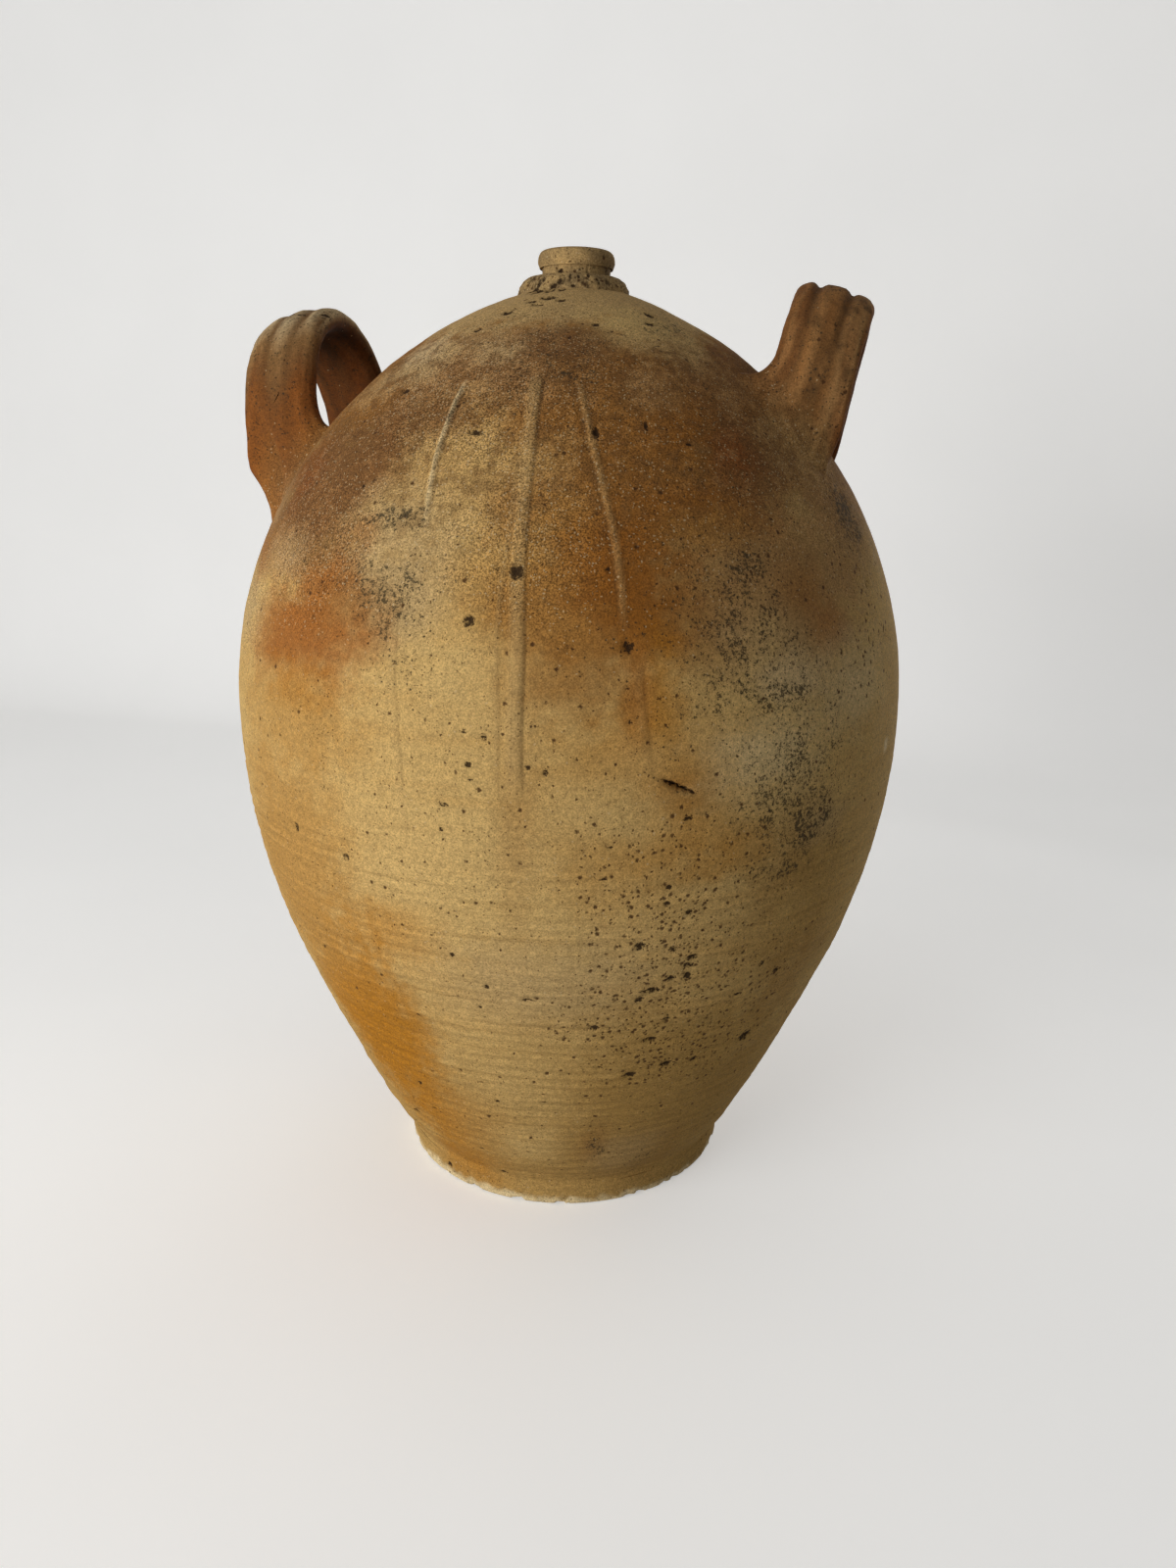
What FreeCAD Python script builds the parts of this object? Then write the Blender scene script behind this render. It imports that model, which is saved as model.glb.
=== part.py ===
import FreeCAD, Part
import math
import os

# Two-handled olive jar of thrown earthenware, standing at z = 0 with its axis on Z.
# It is built from the clay pieces that a potter makes apart and lutes together:
# a base disc, two thrown walls, a neck with its collar and lip, and two strap handles.
# The handles stand on the left (-X) and right (+X), and -Y is the front.
# All lengths are in millimetres and all angles in degrees.

# Body, measured on its outer face
FOOT_RADIUS = 94.5
FOOT_HEIGHT = 14.0
FOOT_EDGE = 3.0
FOOT_WAIST_INSET = 1.5
FLANK_OVERHANG = 5.5
FLANK_FOOT_RISE = 4.0
BELLY_RADIUS = 181.0
BELLY_HEIGHT = 268.0
LOWER_BELLY_CURVE = 345.0
LOWER_BELLY_DROP = 118.0
SHOULDER_RISE = 214.0
WALL = 10.0

# V-shaped seam where the upper wall sits in the rim of the lower wall
SEAM_DEPTH = 5.0

# Neck, collar and lip
BORE_RADIUS = 12.0
NECK_WALL = 5.6
NECK_EDGE_WALL = 2.6
NECK_LENGTH = 18.0
COLLAR_WIDTH = 9.4
COLLAR_TOP_WIDTH = 4.9
COLLAR_RISE = 4.5
COLLAR_BOW = 1.3
LIP_OVERHANG = 2.0
LIP_TOP_INSET = 2.8
LIP_HEIGHT = 8.5
LIP_EDGE = 1.6
LIP_BOW = 1.2

# Strap handles, each a hoop that stands across the shoulder
STRAP_WIDTH = 34.0
STRAP_THICKNESS = 15.0
STRAP_EDGE = 4.5
RIDGE_HEIGHT = 2.0
HOOP_HALF_SPAN = 43.0
CREST_SLOPE = 16.0
LEFT_SEAT_RISE = 106.0
LEFT_LEG_LENGTH = 46.0
LEFT_LEAN = 1.0
RIGHT_SEAT_RISE = 144.0
RIGHT_LEG_LENGTH = 17.7
RIGHT_LEAN = 9.0

# Hollow pressed into the outer corner of the left handle's feet
PRESS_RADIUS = 25.0
PRESS_BITE = 4.0
PRESS_DROP = 13.0

# Wads of clay smeared round the handles' feet
WAD_LENGTH = 70.0
WAD_WIDTH = 38.0
WAD_FLARE = 8.0
WAD_THICKNESS = 5.0

ORIGIN = FreeCAD.Vector(0, 0, 0)
UP = FreeCAD.Vector(0, 0, 1)
FRONT = FreeCAD.Vector(0, -1, 0)

FOOT_WAIST_RADIUS = FOOT_RADIUS - FOOT_WAIST_INSET
NECK_RADIUS = BORE_RADIUS + NECK_WALL
NECK_EDGE_RADIUS = BORE_RADIUS + NECK_EDGE_WALL
LIP_RADIUS = NECK_RADIUS + LIP_OVERHANG
SHOULDER_TOP = BELLY_HEIGHT + SHOULDER_RISE
JAR_TOP = SHOULDER_TOP + NECK_LENGTH
LIP_SEAT = JAR_TOP - LIP_HEIGHT


class Curve:
    """A round stretch of the outline, about a centre in the plane of radius and height."""

    def __init__(self, centre_radius, centre_height, size):
        self.centre_radius = centre_radius
        self.centre_height = centre_height
        self.size = size

    def at(self, angle, inset=0.0):
        """Point at an angle above the level through the centre, moved in by inset."""
        reach = self.size - inset
        return profile_point(self.centre_radius + reach * math.cos(angle),
                             self.centre_height + reach * math.sin(angle))

    def angle_at_height(self, height, inset=0.0):
        return math.asin((height - self.centre_height) / (self.size - inset))

    def angle_at_radius(self, radius, inset=0.0):
        return math.acos((radius - self.centre_radius) / (self.size - inset))

    def edge(self, start, end, inset=0.0):
        middle = (start + end) / 2
        return arc(self.at(start, inset), self.at(middle, inset), self.at(end, inset))


def profile_point(radius, height):
    return FreeCAD.Vector(radius, 0, height)


def arc(start, middle, end):
    return Part.Arc(start, middle, end).toShape()


def bowed(start, end, bow, normal):
    """Arc that swells by bow to the right of its chord, as seen against normal."""
    side = (end - start).cross(normal).normalize()
    return arc(start, (start + end) / 2 + side * bow, end)


def lines(*points):
    """Straight edges from each point to the next."""
    return [Part.LineSegment(a, b).toShape() for a, b in zip(points, points[1:])]


def turned(edges):
    """Solid that a closed outline sweeps in one turn about the jar's axis."""
    return Part.Face(Part.Wire(edges)).revolve(ORIGIN, UP, 360)


def dome_curve():
    """Upright at the belly, and passing through the root of the neck."""
    span = BELLY_RADIUS - NECK_RADIUS
    centre = (BELLY_RADIUS ** 2 - NECK_RADIUS ** 2 - SHOULDER_RISE ** 2) / (2 * span)
    return Curve(centre, BELLY_HEIGHT, BELLY_RADIUS - centre)


def flank_curve(start, turn, end):
    """Leaves start at an angle below the belly's upright and reaches end."""
    chord = end - start
    slant = math.atan2(-chord.x, -chord.z)
    size = chord.Length / (2 * math.sin(slant - turn))
    return Curve(start.x - size * math.cos(turn), start.z + size * math.sin(turn), size)


DOME = dome_curve()
LOWER_BELLY = Curve(BELLY_RADIUS - LOWER_BELLY_CURVE, BELLY_HEIGHT, LOWER_BELLY_CURVE)
LOWER_BELLY_END = LOWER_BELLY.angle_at_height(BELLY_HEIGHT - LOWER_BELLY_DROP)
FLANK_FOOT = profile_point(FOOT_RADIUS + FLANK_OVERHANG, FOOT_HEIGHT + FLANK_FOOT_RISE)
FLANK = flank_curve(LOWER_BELLY.at(LOWER_BELLY_END), -LOWER_BELLY_END, FLANK_FOOT)
DOME_TOP = DOME.angle_at_radius(NECK_RADIUS)


def seam_points():
    """Inner rim, groove and outer rim of the seam at the belly."""
    inner = profile_point(BELLY_RADIUS - WALL, BELLY_HEIGHT)
    groove = profile_point(BELLY_RADIUS - WALL / 2, BELLY_HEIGHT - SEAM_DEPTH)
    outer = profile_point(BELLY_RADIUS, BELLY_HEIGHT)
    return inner, groove, outer


def base_disc():
    """Patted disc with a rounded lower edge, slightly drawn in where the wall starts."""
    rounding = math.sqrt(0.5) * FOOT_EDGE
    centre = profile_point(FOOT_RADIUS - FOOT_EDGE, FOOT_EDGE)
    under = profile_point(centre.x, 0)
    corner = centre + FreeCAD.Vector(rounding, 0, -rounding)
    side = profile_point(FOOT_RADIUS, FOOT_EDGE)
    waist = profile_point(FOOT_WAIST_RADIUS, FOOT_HEIGHT)
    top = profile_point(0, FOOT_HEIGHT)
    return turned(lines(ORIGIN, under) + [arc(under, corner, side)] + lines(side, waist, top, ORIGIN))


def lower_wall():
    """Thrown bowl from the base disc up to the belly, with the groove in its rim."""
    inner, groove, outer = seam_points()
    flank_end = FLANK.angle_at_height(FLANK_FOOT.z)
    floor_end = FLANK.angle_at_height(FOOT_HEIGHT, WALL)
    waist = profile_point(FOOT_WAIST_RADIUS, FOOT_HEIGHT)
    outside = [LOWER_BELLY.edge(0, LOWER_BELLY_END), FLANK.edge(LOWER_BELLY_END, flank_end)]
    inside = [FLANK.edge(floor_end, LOWER_BELLY_END, WALL), LOWER_BELLY.edge(LOWER_BELLY_END, 0, WALL)]
    foot = lines(FLANK.at(flank_end), waist, FLANK.at(floor_end, WALL))
    return turned(outside + foot + inside + lines(inner, groove, outer))


def upper_wall():
    """Thrown dome from the belly up to the hole that takes the neck."""
    inner, groove, outer = seam_points()
    inside_top = DOME.angle_at_radius(NECK_RADIUS, WALL)
    outside = [DOME.edge(0, DOME_TOP)]
    hole = lines(DOME.at(DOME_TOP), DOME.at(inside_top, WALL))
    inside = [DOME.edge(inside_top, 0, WALL)]
    return turned(outside + hole + inside + lines(inner, groove, outer))


def neck():
    """Tube set through the dome's hole, with a thin upper edge that the lip wraps."""
    inside_top = DOME.angle_at_radius(NECK_RADIUS, WALL)
    bottom = DOME.at(inside_top, WALL).z
    return turned(lines(profile_point(BORE_RADIUS, bottom),
                        profile_point(NECK_RADIUS, bottom),
                        profile_point(NECK_RADIUS, LIP_SEAT),
                        profile_point(NECK_EDGE_RADIUS, LIP_SEAT),
                        profile_point(NECK_EDGE_RADIUS, JAR_TOP),
                        profile_point(BORE_RADIUS, JAR_TOP),
                        profile_point(BORE_RADIUS, bottom)))


def neck_collar():
    """Coil that seals the neck to the dome, with a bulging side."""
    collar_foot = DOME.angle_at_radius(NECK_RADIUS + COLLAR_WIDTH)
    foot = DOME.at(collar_foot)
    shoulder = profile_point(NECK_RADIUS + COLLAR_TOP_WIDTH, SHOULDER_TOP + COLLAR_RISE)
    inner = profile_point(NECK_RADIUS, SHOULDER_TOP + COLLAR_RISE)
    side = bowed(foot, shoulder, COLLAR_BOW, FRONT)
    seat = DOME.edge(DOME_TOP, collar_foot)
    return turned([seat, side] + lines(shoulder, inner, DOME.at(DOME_TOP)))


def lip_ring():
    """Rolled coil round the neck's upper edge, widest near its undercut lower side."""
    inner = profile_point(NECK_EDGE_RADIUS, LIP_SEAT)
    under = profile_point(LIP_RADIUS - LIP_EDGE, LIP_SEAT)
    widest = profile_point(LIP_RADIUS, LIP_SEAT + LIP_EDGE)
    rounding = math.sqrt(0.5) * LIP_EDGE
    corner = profile_point(under.x + rounding, widest.z - rounding)
    top = profile_point(LIP_RADIUS - LIP_TOP_INSET, JAR_TOP)
    inner_top = profile_point(NECK_EDGE_RADIUS, JAR_TOP)
    outside = [arc(under, corner, widest), bowed(widest, top, LIP_BOW, FRONT)]
    return turned(lines(inner, under) + outside + lines(top, inner_top, inner))


def dome_core():
    """Solid filled out to the dome's outer face, to shape what is luted onto it."""
    axis_low = profile_point(0, BELLY_HEIGHT)
    axis_high = profile_point(0, SHOULDER_TOP)
    edges = lines(axis_low, DOME.at(0)) + [DOME.edge(0, DOME_TOP)]
    return turned(edges + lines(DOME.at(DOME_TOP), axis_high, axis_low))


def dome_skin():
    """Solid filled out to the outer face of the wads."""
    top = DOME.angle_at_radius(NECK_RADIUS, -WAD_THICKNESS)
    axis_low = profile_point(0, BELLY_HEIGHT)
    axis_high = profile_point(0, DOME.at(top, -WAD_THICKNESS).z)
    edges = lines(axis_low, DOME.at(0, -WAD_THICKNESS)) + [DOME.edge(0, top, -WAD_THICKNESS)]
    return turned(edges + lines(DOME.at(top, -WAD_THICKNESS), axis_high, axis_low))


class Handle:
    """Place of one hoop. Its legs meet the dome at the seat and run on inside it to be cut off there."""

    def __init__(self, side, seat_rise, leg_length, lean):
        self.side = side
        self.leg_length = leg_length
        self.lean = math.radians(lean)
        self.seat_angle = DOME.angle_at_height(BELLY_HEIGHT + seat_rise)
        self.seat = DOME.at(self.seat_angle)
        self.azimuth = math.asin(HOOP_HALF_SPAN / self.seat.x)
        self.leg_depth = seat_rise - STRAP_WIDTH

    def placement(self):
        """Leans the hoop, slopes its crest outward and sets it on its side of the jar."""
        out = FreeCAD.Vector(self.side, 0, -math.tan(math.radians(CREST_SLOPE)))
        along = FreeCAD.Vector(0, self.side, 0)
        up = FreeCAD.Vector(self.side * math.sin(self.lean), 0, math.cos(self.lean))
        base = FreeCAD.Vector(self.side * self.seat.x * math.cos(self.azimuth), 0, self.seat.z)
        return FreeCAD.Matrix(out.x, along.x, up.x, base.x,
                              out.y, along.y, up.y, base.y,
                              out.z, along.z, up.z, base.z)

    def foot_frame(self, way):
        """Seat of the front (-1) or back (1) leg, with the dome's outward and upward directions."""
        level = FreeCAD.Vector(self.side * math.cos(self.azimuth), way * math.sin(self.azimuth), 0)
        outward = level * math.cos(self.seat_angle) + UP * math.sin(self.seat_angle)
        upward = UP * math.cos(self.seat_angle) - level * math.sin(self.seat_angle)
        return level * self.seat.x + UP * self.seat.z, outward, upward


def strap_section(height):
    """Flat inside and three ridges outside, square to the hoop's front leg at a height on it."""
    half_width = STRAP_WIDTH / 2
    half_thick = STRAP_THICKNESS / 2
    ridge = STRAP_WIDTH / 6
    rounding = STRAP_EDGE * (1 - math.sqrt(0.5))

    def at(across, outward):
        return FreeCAD.Vector(across, -HOOP_HALF_SPAN - outward, height)

    groove = half_thick - RIDGE_HEIGHT
    edges = lines(at(STRAP_EDGE - half_width, -half_thick), at(half_width - STRAP_EDGE, -half_thick))
    edges.append(arc(at(-ridge, groove), at(0, half_thick), at(ridge, groove)))
    for side in (-1, 1):
        inside = at(side * (half_width - STRAP_EDGE), -half_thick)
        corner = at(side * (half_width - rounding), rounding - half_thick)
        flank = at(side * half_width, STRAP_EDGE - half_thick)
        shoulder = at(side * half_width, half_thick - STRAP_EDGE)
        edges.append(arc(inside, corner, flank))
        edges += lines(flank, shoulder)
        edges.append(arc(shoulder, at(side * 2 * ridge, half_thick), at(side * ridge, groove)))
    return Part.Wire(Part.__sortEdges__(edges))


def strap(handle, core):
    """Hoop of ridged strap, with both feet shaped to the dome."""
    low = -handle.leg_depth
    foot = FreeCAD.Vector(0, HOOP_HALF_SPAN, low)
    spring = FreeCAD.Vector(0, HOOP_HALF_SPAN, handle.leg_length)
    crest = FreeCAD.Vector(0, 0, handle.leg_length + HOOP_HALF_SPAN)
    far_spring = FreeCAD.Vector(0, -HOOP_HALF_SPAN, handle.leg_length)
    far_foot = FreeCAD.Vector(0, -HOOP_HALF_SPAN, low)
    path = Part.Wire(lines(far_foot, far_spring) + [arc(far_spring, crest, spring)] + lines(spring, foot))
    hoop = path.makePipeShell([strap_section(low)], True, False)
    return hoop.transformGeometry(handle.placement()).cut(core)


def press(handle):
    """Round-topped block, lying along the hoop, that hollows the outer corner of its feet."""
    angle = DOME.angle_at_height(handle.seat.z - PRESS_DROP)
    wall = DOME.at(angle)
    reach = PRESS_RADIUS - PRESS_BITE
    length = 2 * (HOOP_HALF_SPAN + STRAP_THICKNESS)
    level = math.sqrt(wall.x ** 2 - HOOP_HALF_SPAN ** 2) + reach * math.cos(angle)
    centre = FreeCAD.Vector(handle.side * level, -length / 2, wall.z + reach * math.sin(angle))
    across = FreeCAD.Vector(PRESS_RADIUS, 0, 0)
    over = FreeCAD.Vector(0, 0, PRESS_RADIUS)
    below = FreeCAD.Vector(0, 0, -handle.leg_depth)
    sides = lines(centre + across, centre + across + below, centre - across + below, centre - across)
    outline = Part.Wire([arc(centre - across, centre + over, centre + across)] + sides)
    return Part.Face(outline).extrude(FreeCAD.Vector(0, length, 0))


def oval(centre, normal, upward, half_length, half_width):
    sideways = normal.cross(upward)
    ellipse = Part.Ellipse(centre + upward * half_length, centre + sideways * half_width, centre)
    return Part.Wire(ellipse.toShape())


def wad(handle, way, hoop, core, skin):
    """Oval pad of clay round one foot of a hoop, thinning towards its edge."""
    seat, outward, upward = handle.foot_frame(way)
    half_length = WAD_LENGTH / 2
    half_width = WAD_WIDTH / 2
    depth = outward * (WAD_THICKNESS + half_length ** 2 / (2 * DOME.size))
    low = oval(seat - depth, outward, upward, half_length + WAD_FLARE, half_width + WAD_FLARE)
    high = oval(seat + depth, outward, upward, half_length - WAD_FLARE, half_width - WAD_FLARE)
    pad = Part.makeLoft([low, high], True, True)
    return pad.common(skin).cut(core).cut(hoop)


def build():
    core = dome_core()
    skin = dome_skin()
    left = Handle(-1, LEFT_SEAT_RISE, LEFT_LEG_LENGTH, LEFT_LEAN)
    right = Handle(1, RIGHT_SEAT_RISE, RIGHT_LEG_LENGTH, RIGHT_LEAN)
    hoops = {
        "left_handle": (left, strap(left, core).cut(press(left))),
        "right_handle": (right, strap(right, core)),
    }
    nodes = {
        "base_disc": base_disc(),
        "lower_wall": lower_wall(),
        "upper_wall": upper_wall(),
        "neck": neck(),
        "neck_collar": neck_collar(),
        "lip_ring": lip_ring(),
    }
    for name, (handle, hoop) in hoops.items():
        nodes[name] = hoop
        for place, way in (("front", -1), ("back", 1)):
            nodes[f"{name}_{place}_wad"] = wad(handle, way, hoop, core, skin)
    return nodes


os.makedirs("parts", exist_ok=True)
for name, shape in build().items():
    shape.exportStep(f"parts/{name}.step")
    print(name, shape.isValid(), len(shape.Solids), round(shape.Volume), shape.BoundBox)
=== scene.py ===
"""Looks of a two-handled earthenware olive jar, dressed over its CAD frame."""

import math
from collections import namedtuple

import bmesh
import bpy
import numpy as np
from bpy.props import FloatProperty, FloatVectorProperty, PointerProperty
from mathutils import Matrix, Vector, noise


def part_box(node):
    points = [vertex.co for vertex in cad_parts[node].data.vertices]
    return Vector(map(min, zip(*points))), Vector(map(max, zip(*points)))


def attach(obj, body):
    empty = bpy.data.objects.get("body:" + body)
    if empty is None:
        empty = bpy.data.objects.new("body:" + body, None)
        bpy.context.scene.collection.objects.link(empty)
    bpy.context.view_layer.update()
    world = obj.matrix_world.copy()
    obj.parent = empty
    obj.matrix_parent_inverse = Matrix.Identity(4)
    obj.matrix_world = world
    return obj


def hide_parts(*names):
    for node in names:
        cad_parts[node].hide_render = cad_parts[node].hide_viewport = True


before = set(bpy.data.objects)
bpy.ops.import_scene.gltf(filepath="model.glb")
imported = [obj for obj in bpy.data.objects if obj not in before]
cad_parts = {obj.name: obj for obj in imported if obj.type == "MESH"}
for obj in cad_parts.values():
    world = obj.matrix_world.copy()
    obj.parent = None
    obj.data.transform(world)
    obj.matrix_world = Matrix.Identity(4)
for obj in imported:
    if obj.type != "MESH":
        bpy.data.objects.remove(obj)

bl_info = {
    "name": "Olive Jar",
    "version": (1, 0, 0),
    "blender": (4, 5, 0),
    "location": "View3D > Sidebar > Olive Jar",
    "description": "Builds a weathered two-handled earthenware olive jar around its CAD frame",
    "category": "Object",
}

MM = 0.001
DOUBLINGS = 3  # of the spun wedge, until it fills the turn
CROWDING = 0.45  # how far the body's columns are drawn together at the front
BODY_COLUMNS, FOOT_COLUMNS, NECK_COLUMNS = 440, 480, 240
BOWL_ROWS, DOME_ROWS = 190, 200
STRAP_ROWS, STRAP_COLUMNS = 170, 104
FOOT_START = 0.76  # share of a strap's half length at which its foot starts
STRAP_REACH = 110 * MM  # distance from a strap's crest at which it has widened to its foot
STRAP_POWER, FACE_POWER = 0.62, 0.55  # how square a strap's section is, across and through
GROOVE_SHADE_WIDTH = 0.16  # width of the painted shade in a strap's groove, as a share of half the strap
PATCH_POWER = 2.6  # 2 would make a patch's border round, more makes it squarer
RINGS_END, RINGS_FADE = 280, 90  # height of the last throwing ring, and how far under it they fade, in mm
CHIP_DEPTH = 0.2  # of a chip, as a share of its longer side
EDGE_GROOVE = 0.25 * MM  # depth of the groove along a run's dark edge
WELD = 0.005 * MM  # vertices closer than this become one
SHARP = math.radians(55)  # angle from which an edge stays sharp
AIM = Vector((0, 0, 0.27))  # where the lamps point
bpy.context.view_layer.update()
DISC_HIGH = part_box("base_disc")[1]
BOWL_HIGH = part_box("lower_wall")[1]
DOME_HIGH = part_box("upper_wall")[1]
NECK_LOW, NECK_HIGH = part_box("neck")
COLLAR_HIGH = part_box("neck_collar")[1]
LIP_LOW, LIP_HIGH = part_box("lip_ring")


def earth(red, green, blue):
    """Linear colour of a tint that is given as it looks on a screen, from 0 to 255."""
    channels = []
    for value in (red, green, blue):
        share = value / 255
        channels.append(share / 12.92 if share <= 0.04045 else ((share + 0.055) / 1.055) ** 2.4)
    return tuple(channels)


def length(name, description, default):
    return FloatProperty(name=name, description=description, default=default, unit="LENGTH", precision=4)


def angle(name, description, default):
    return FloatProperty(name=name, description=description, default=math.radians(default), subtype="ANGLE")


def factor(name, description, default):
    return FloatProperty(name=name, description=description, default=default)


def watts(name, description, default):
    return FloatProperty(name=name, description=description, default=default, unit="POWER")


def position(name, description, default):
    return FloatVectorProperty(name=name, description=description, default=default, size=3, unit="LENGTH")


def tint(name, description, default):
    return FloatVectorProperty(name=name, description=description, default=default, subtype="COLOR",
                               min=0, max=1)


class JarSizes(bpy.types.PropertyGroup):
    """Sizes of the thrown body, the foot and the neck."""

    foot_radius: length("Foot radius", "Radius of the base disc", DISC_HIGH.x)
    foot_height: length("Foot height", "Height of the base disc", DISC_HIGH.z)
    flank_overhang: length("Flank overhang", "How far the flank's arc ends outside the disc", 5.5 * MM)
    flank_rise: length("Flank rise", "How far the flank's arc ends over the disc", 4 * MM)
    flank_ease: length("Flank ease", "How far the thrown flank stays inside its arc", 1.2 * MM)
    waist_pinch: length("Waist pinch", "How far the wall draws in just over the disc", 3 * MM)
    waist_soft: length("Waist softness", "How softly the waist runs out into the disc", 1.8 * MM)
    belly_radius: length("Belly radius", "Widest radius of the jar", BOWL_HIGH.x)
    belly_height: length("Belly height", "Height of the widest place", BOWL_HIGH.z)
    belly_slack: length("Belly slack", "Room kept for relief inside the widest radius", 0.6 * MM)
    lower_curve: length("Lower belly curve", "Radius of the curve just under the belly", 345 * MM)
    lower_drop: length("Lower belly drop", "How far that curve reaches down", 118 * MM)
    wall: length("Wall", "Thickness of the thrown wall", 10 * MM)
    neck_radius: length("Neck radius", "Outer radius of the neck", NECK_HIGH.x)
    bore_radius: length("Bore radius", "Radius of the hole through the neck", 12 * MM)
    shoulder_height: length("Shoulder height", "Height at which the dome meets the neck", DOME_HIGH.z)
    collar_radius: length("Collar radius", "Lower radius of the sealing coil", COLLAR_HIGH.x)
    collar_top: length("Collar top", "Upper edge of the sealing coil", COLLAR_HIGH.z)
    lip_radius: length("Lip radius", "Widest radius of the rolled lip", LIP_HIGH.x)
    lip_low: length("Lip underside", "Height of the lip's lower edge", LIP_LOW.z)
    lip_top: length("Lip top", "Height of the lip's upper edge", LIP_HIGH.z)


HOOP_SETTINGS = {
    "seat": (length, "Seat", "Height at which the legs meet the dome"),
    "leg": (length, "Leg", "Straight length of the legs"),
    "lean": (angle, "Lean", "How far the hoop leans out"),
    "half_span": (length, "Half span", "Radius of the hoop's arch"),
    "crest": (length, "Strap at the crest", "Width of the strap at the top of the hoop"),
    "foot": (length, "Strap at the foot", "Width of the strap where it meets the jar"),
    "thickness": (length, "Thickness", "Thickness of the strap"),
    "slope": (angle, "Crest slope", "How far the crest tips down to the outside"),
    "crown": (length, "Crown", "How far the strap's edges lie under its middle"),
    "ridge": (length, "Ridge height", "Depth of the grooves between the ridges"),
    "groove": (factor, "Groove width", "Width of a groove, as a share of half the strap"),
    "inner_groove": (factor, "Inner groove", "Place of the groove near the jar"),
    "outer_groove": (factor, "Outer groove", "Place of the groove away from the jar"),
    "fading": (factor, "Fading", "How soon the grooves run out down the legs"),
    "tuck": (length, "Tuck", "How far the outer edge is pressed in over the foot"),
    "smear": (length, "Smear", "How far the clay is smeared out on the inner side of the foot"),
    "back_step": (angle, "Back step", "How far the back leg slants to the back on its way down"),
    "back_draw": (angle, "Back draw", "How far the back leg slants in to the neck on its way down"),
}


def hoop_settings(**defaults):
    """Settings of one strap handle, with that handle's own defaults."""
    return {key: kind(name, note, defaults[key]) for key, (kind, name, note) in HOOP_SETTINGS.items()}


class LeftHoop(bpy.types.PropertyGroup):
    """Sizes of the left strap handle, which stands low on the shoulder."""

    __annotations__ = hoop_settings(
        seat=374 * MM, leg=49 * MM, lean=1, half_span=43 * MM, crest=38.5 * MM, foot=42 * MM,
        thickness=14.5 * MM, slope=11, crown=2.4 * MM, ridge=1.3 * MM, groove=0.2, inner_groove=-0.36,
        outer_groove=0.3, fading=1.9, tuck=54 * MM, smear=2 * MM, back_step=6, back_draw=8)


class RightHoop(bpy.types.PropertyGroup):
    """Sizes of the right strap handle, which stands high and leans out."""

    __annotations__ = hoop_settings(
        seat=412 * MM, leg=20.5 * MM, lean=11.5, half_span=43 * MM, crest=37.5 * MM, foot=39.5 * MM,
        thickness=14.5 * MM, slope=15, crown=1.4 * MM, ridge=2.2 * MM, groove=0.12, inner_groove=-0.46,
        outer_groove=0.38, fading=1.1, tuck=10 * MM, smear=13 * MM, back_step=0, back_draw=0)


class ClayTints(bpy.types.PropertyGroup):
    """Tints of the fired and weathered clay."""

    buff: tint("Buff", "Plain fired clay", earth(199, 163, 101))
    straw: tint("Straw", "Paler, drier clay", earth(206, 172, 110))
    ashen: tint("Ashen", "Greyer, dustier clay", earth(187, 157, 108))
    tan: tint("Tan", "Clay round the neck and in the runs", earth(188, 154, 100))
    honey: tint("Honey", "Warmer clay", earth(180, 136, 72))
    flame: tint("Flame", "Orange flashes of the kiln", earth(176, 118, 36))
    sienna: tint("Sienna", "Redder flashes", earth(156, 97, 43))
    umber: tint("Umber", "Brown burnt shoulder", earth(144, 96, 42))
    russet: tint("Russet", "Brown-orange burnt places", earth(138, 84, 27))
    scorch: tint("Scorch", "Greyish brown burnt bands", earth(157, 118, 74))
    char: tint("Char", "Darkest burnt places", earth(125, 86, 48))
    taupe: tint("Taupe", "Grey-brown, half burnt clay", earth(167, 127, 79))
    khaki: tint("Khaki", "Dull clay low on the jar", earth(174, 137, 76))
    soot: tint("Soot", "Black and green-grey mottles", earth(50, 44, 31))
    pit_and_shade: tint("Pit", "Dark brown chips and grooves", earth(46, 31, 18))
    # this tint is also laid as painted shade in the straps' grooves and on their inner faces, and as painted
    # shadow along the runs' edges
    rust: tint("Rust", "Red-brown of the small pits and specks", earth(70, 44, 23))
    salt: tint("Salt", "Pale specks and dust", earth(216, 190, 145))
    # cream is also laid as painted highlight on the lamp side of the foot's rim, and in part on the runs'
    # pale bands
    cream: tint("Cream", "Worn edge of the foot and the palest places", earth(229, 205, 156))
    drab: tint("Drab", "Dull clay of the neck and lip", earth(147, 121, 81))
    bark: tint("Bark", "Dark brown of the straps and the shoulder", earth(112, 77, 42))
    ember: tint("Ember", "Red-brown flashes, mostly on the straps", earth(128, 70, 28))


class Finish(bpy.types.PropertyGroup):
    """Relief and grain of the surface."""

    ring_depth: length("Throwing rings", "Depth of the throwing rings low on the jar", 0.55 * MM)
    ring_pitch: length("Ring pitch", "Mean distance between the throwing rings", 6.2 * MM)
    unevenness: length("Unevenness", "Slow swells of the hand-thrown wall", 0.9 * MM)
    grain: length("Grain", "Height of the sandy grain", 0.25 * MM)
    roughness: factor("Roughness", "Mean roughness of the clay", 0.86)


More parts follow.
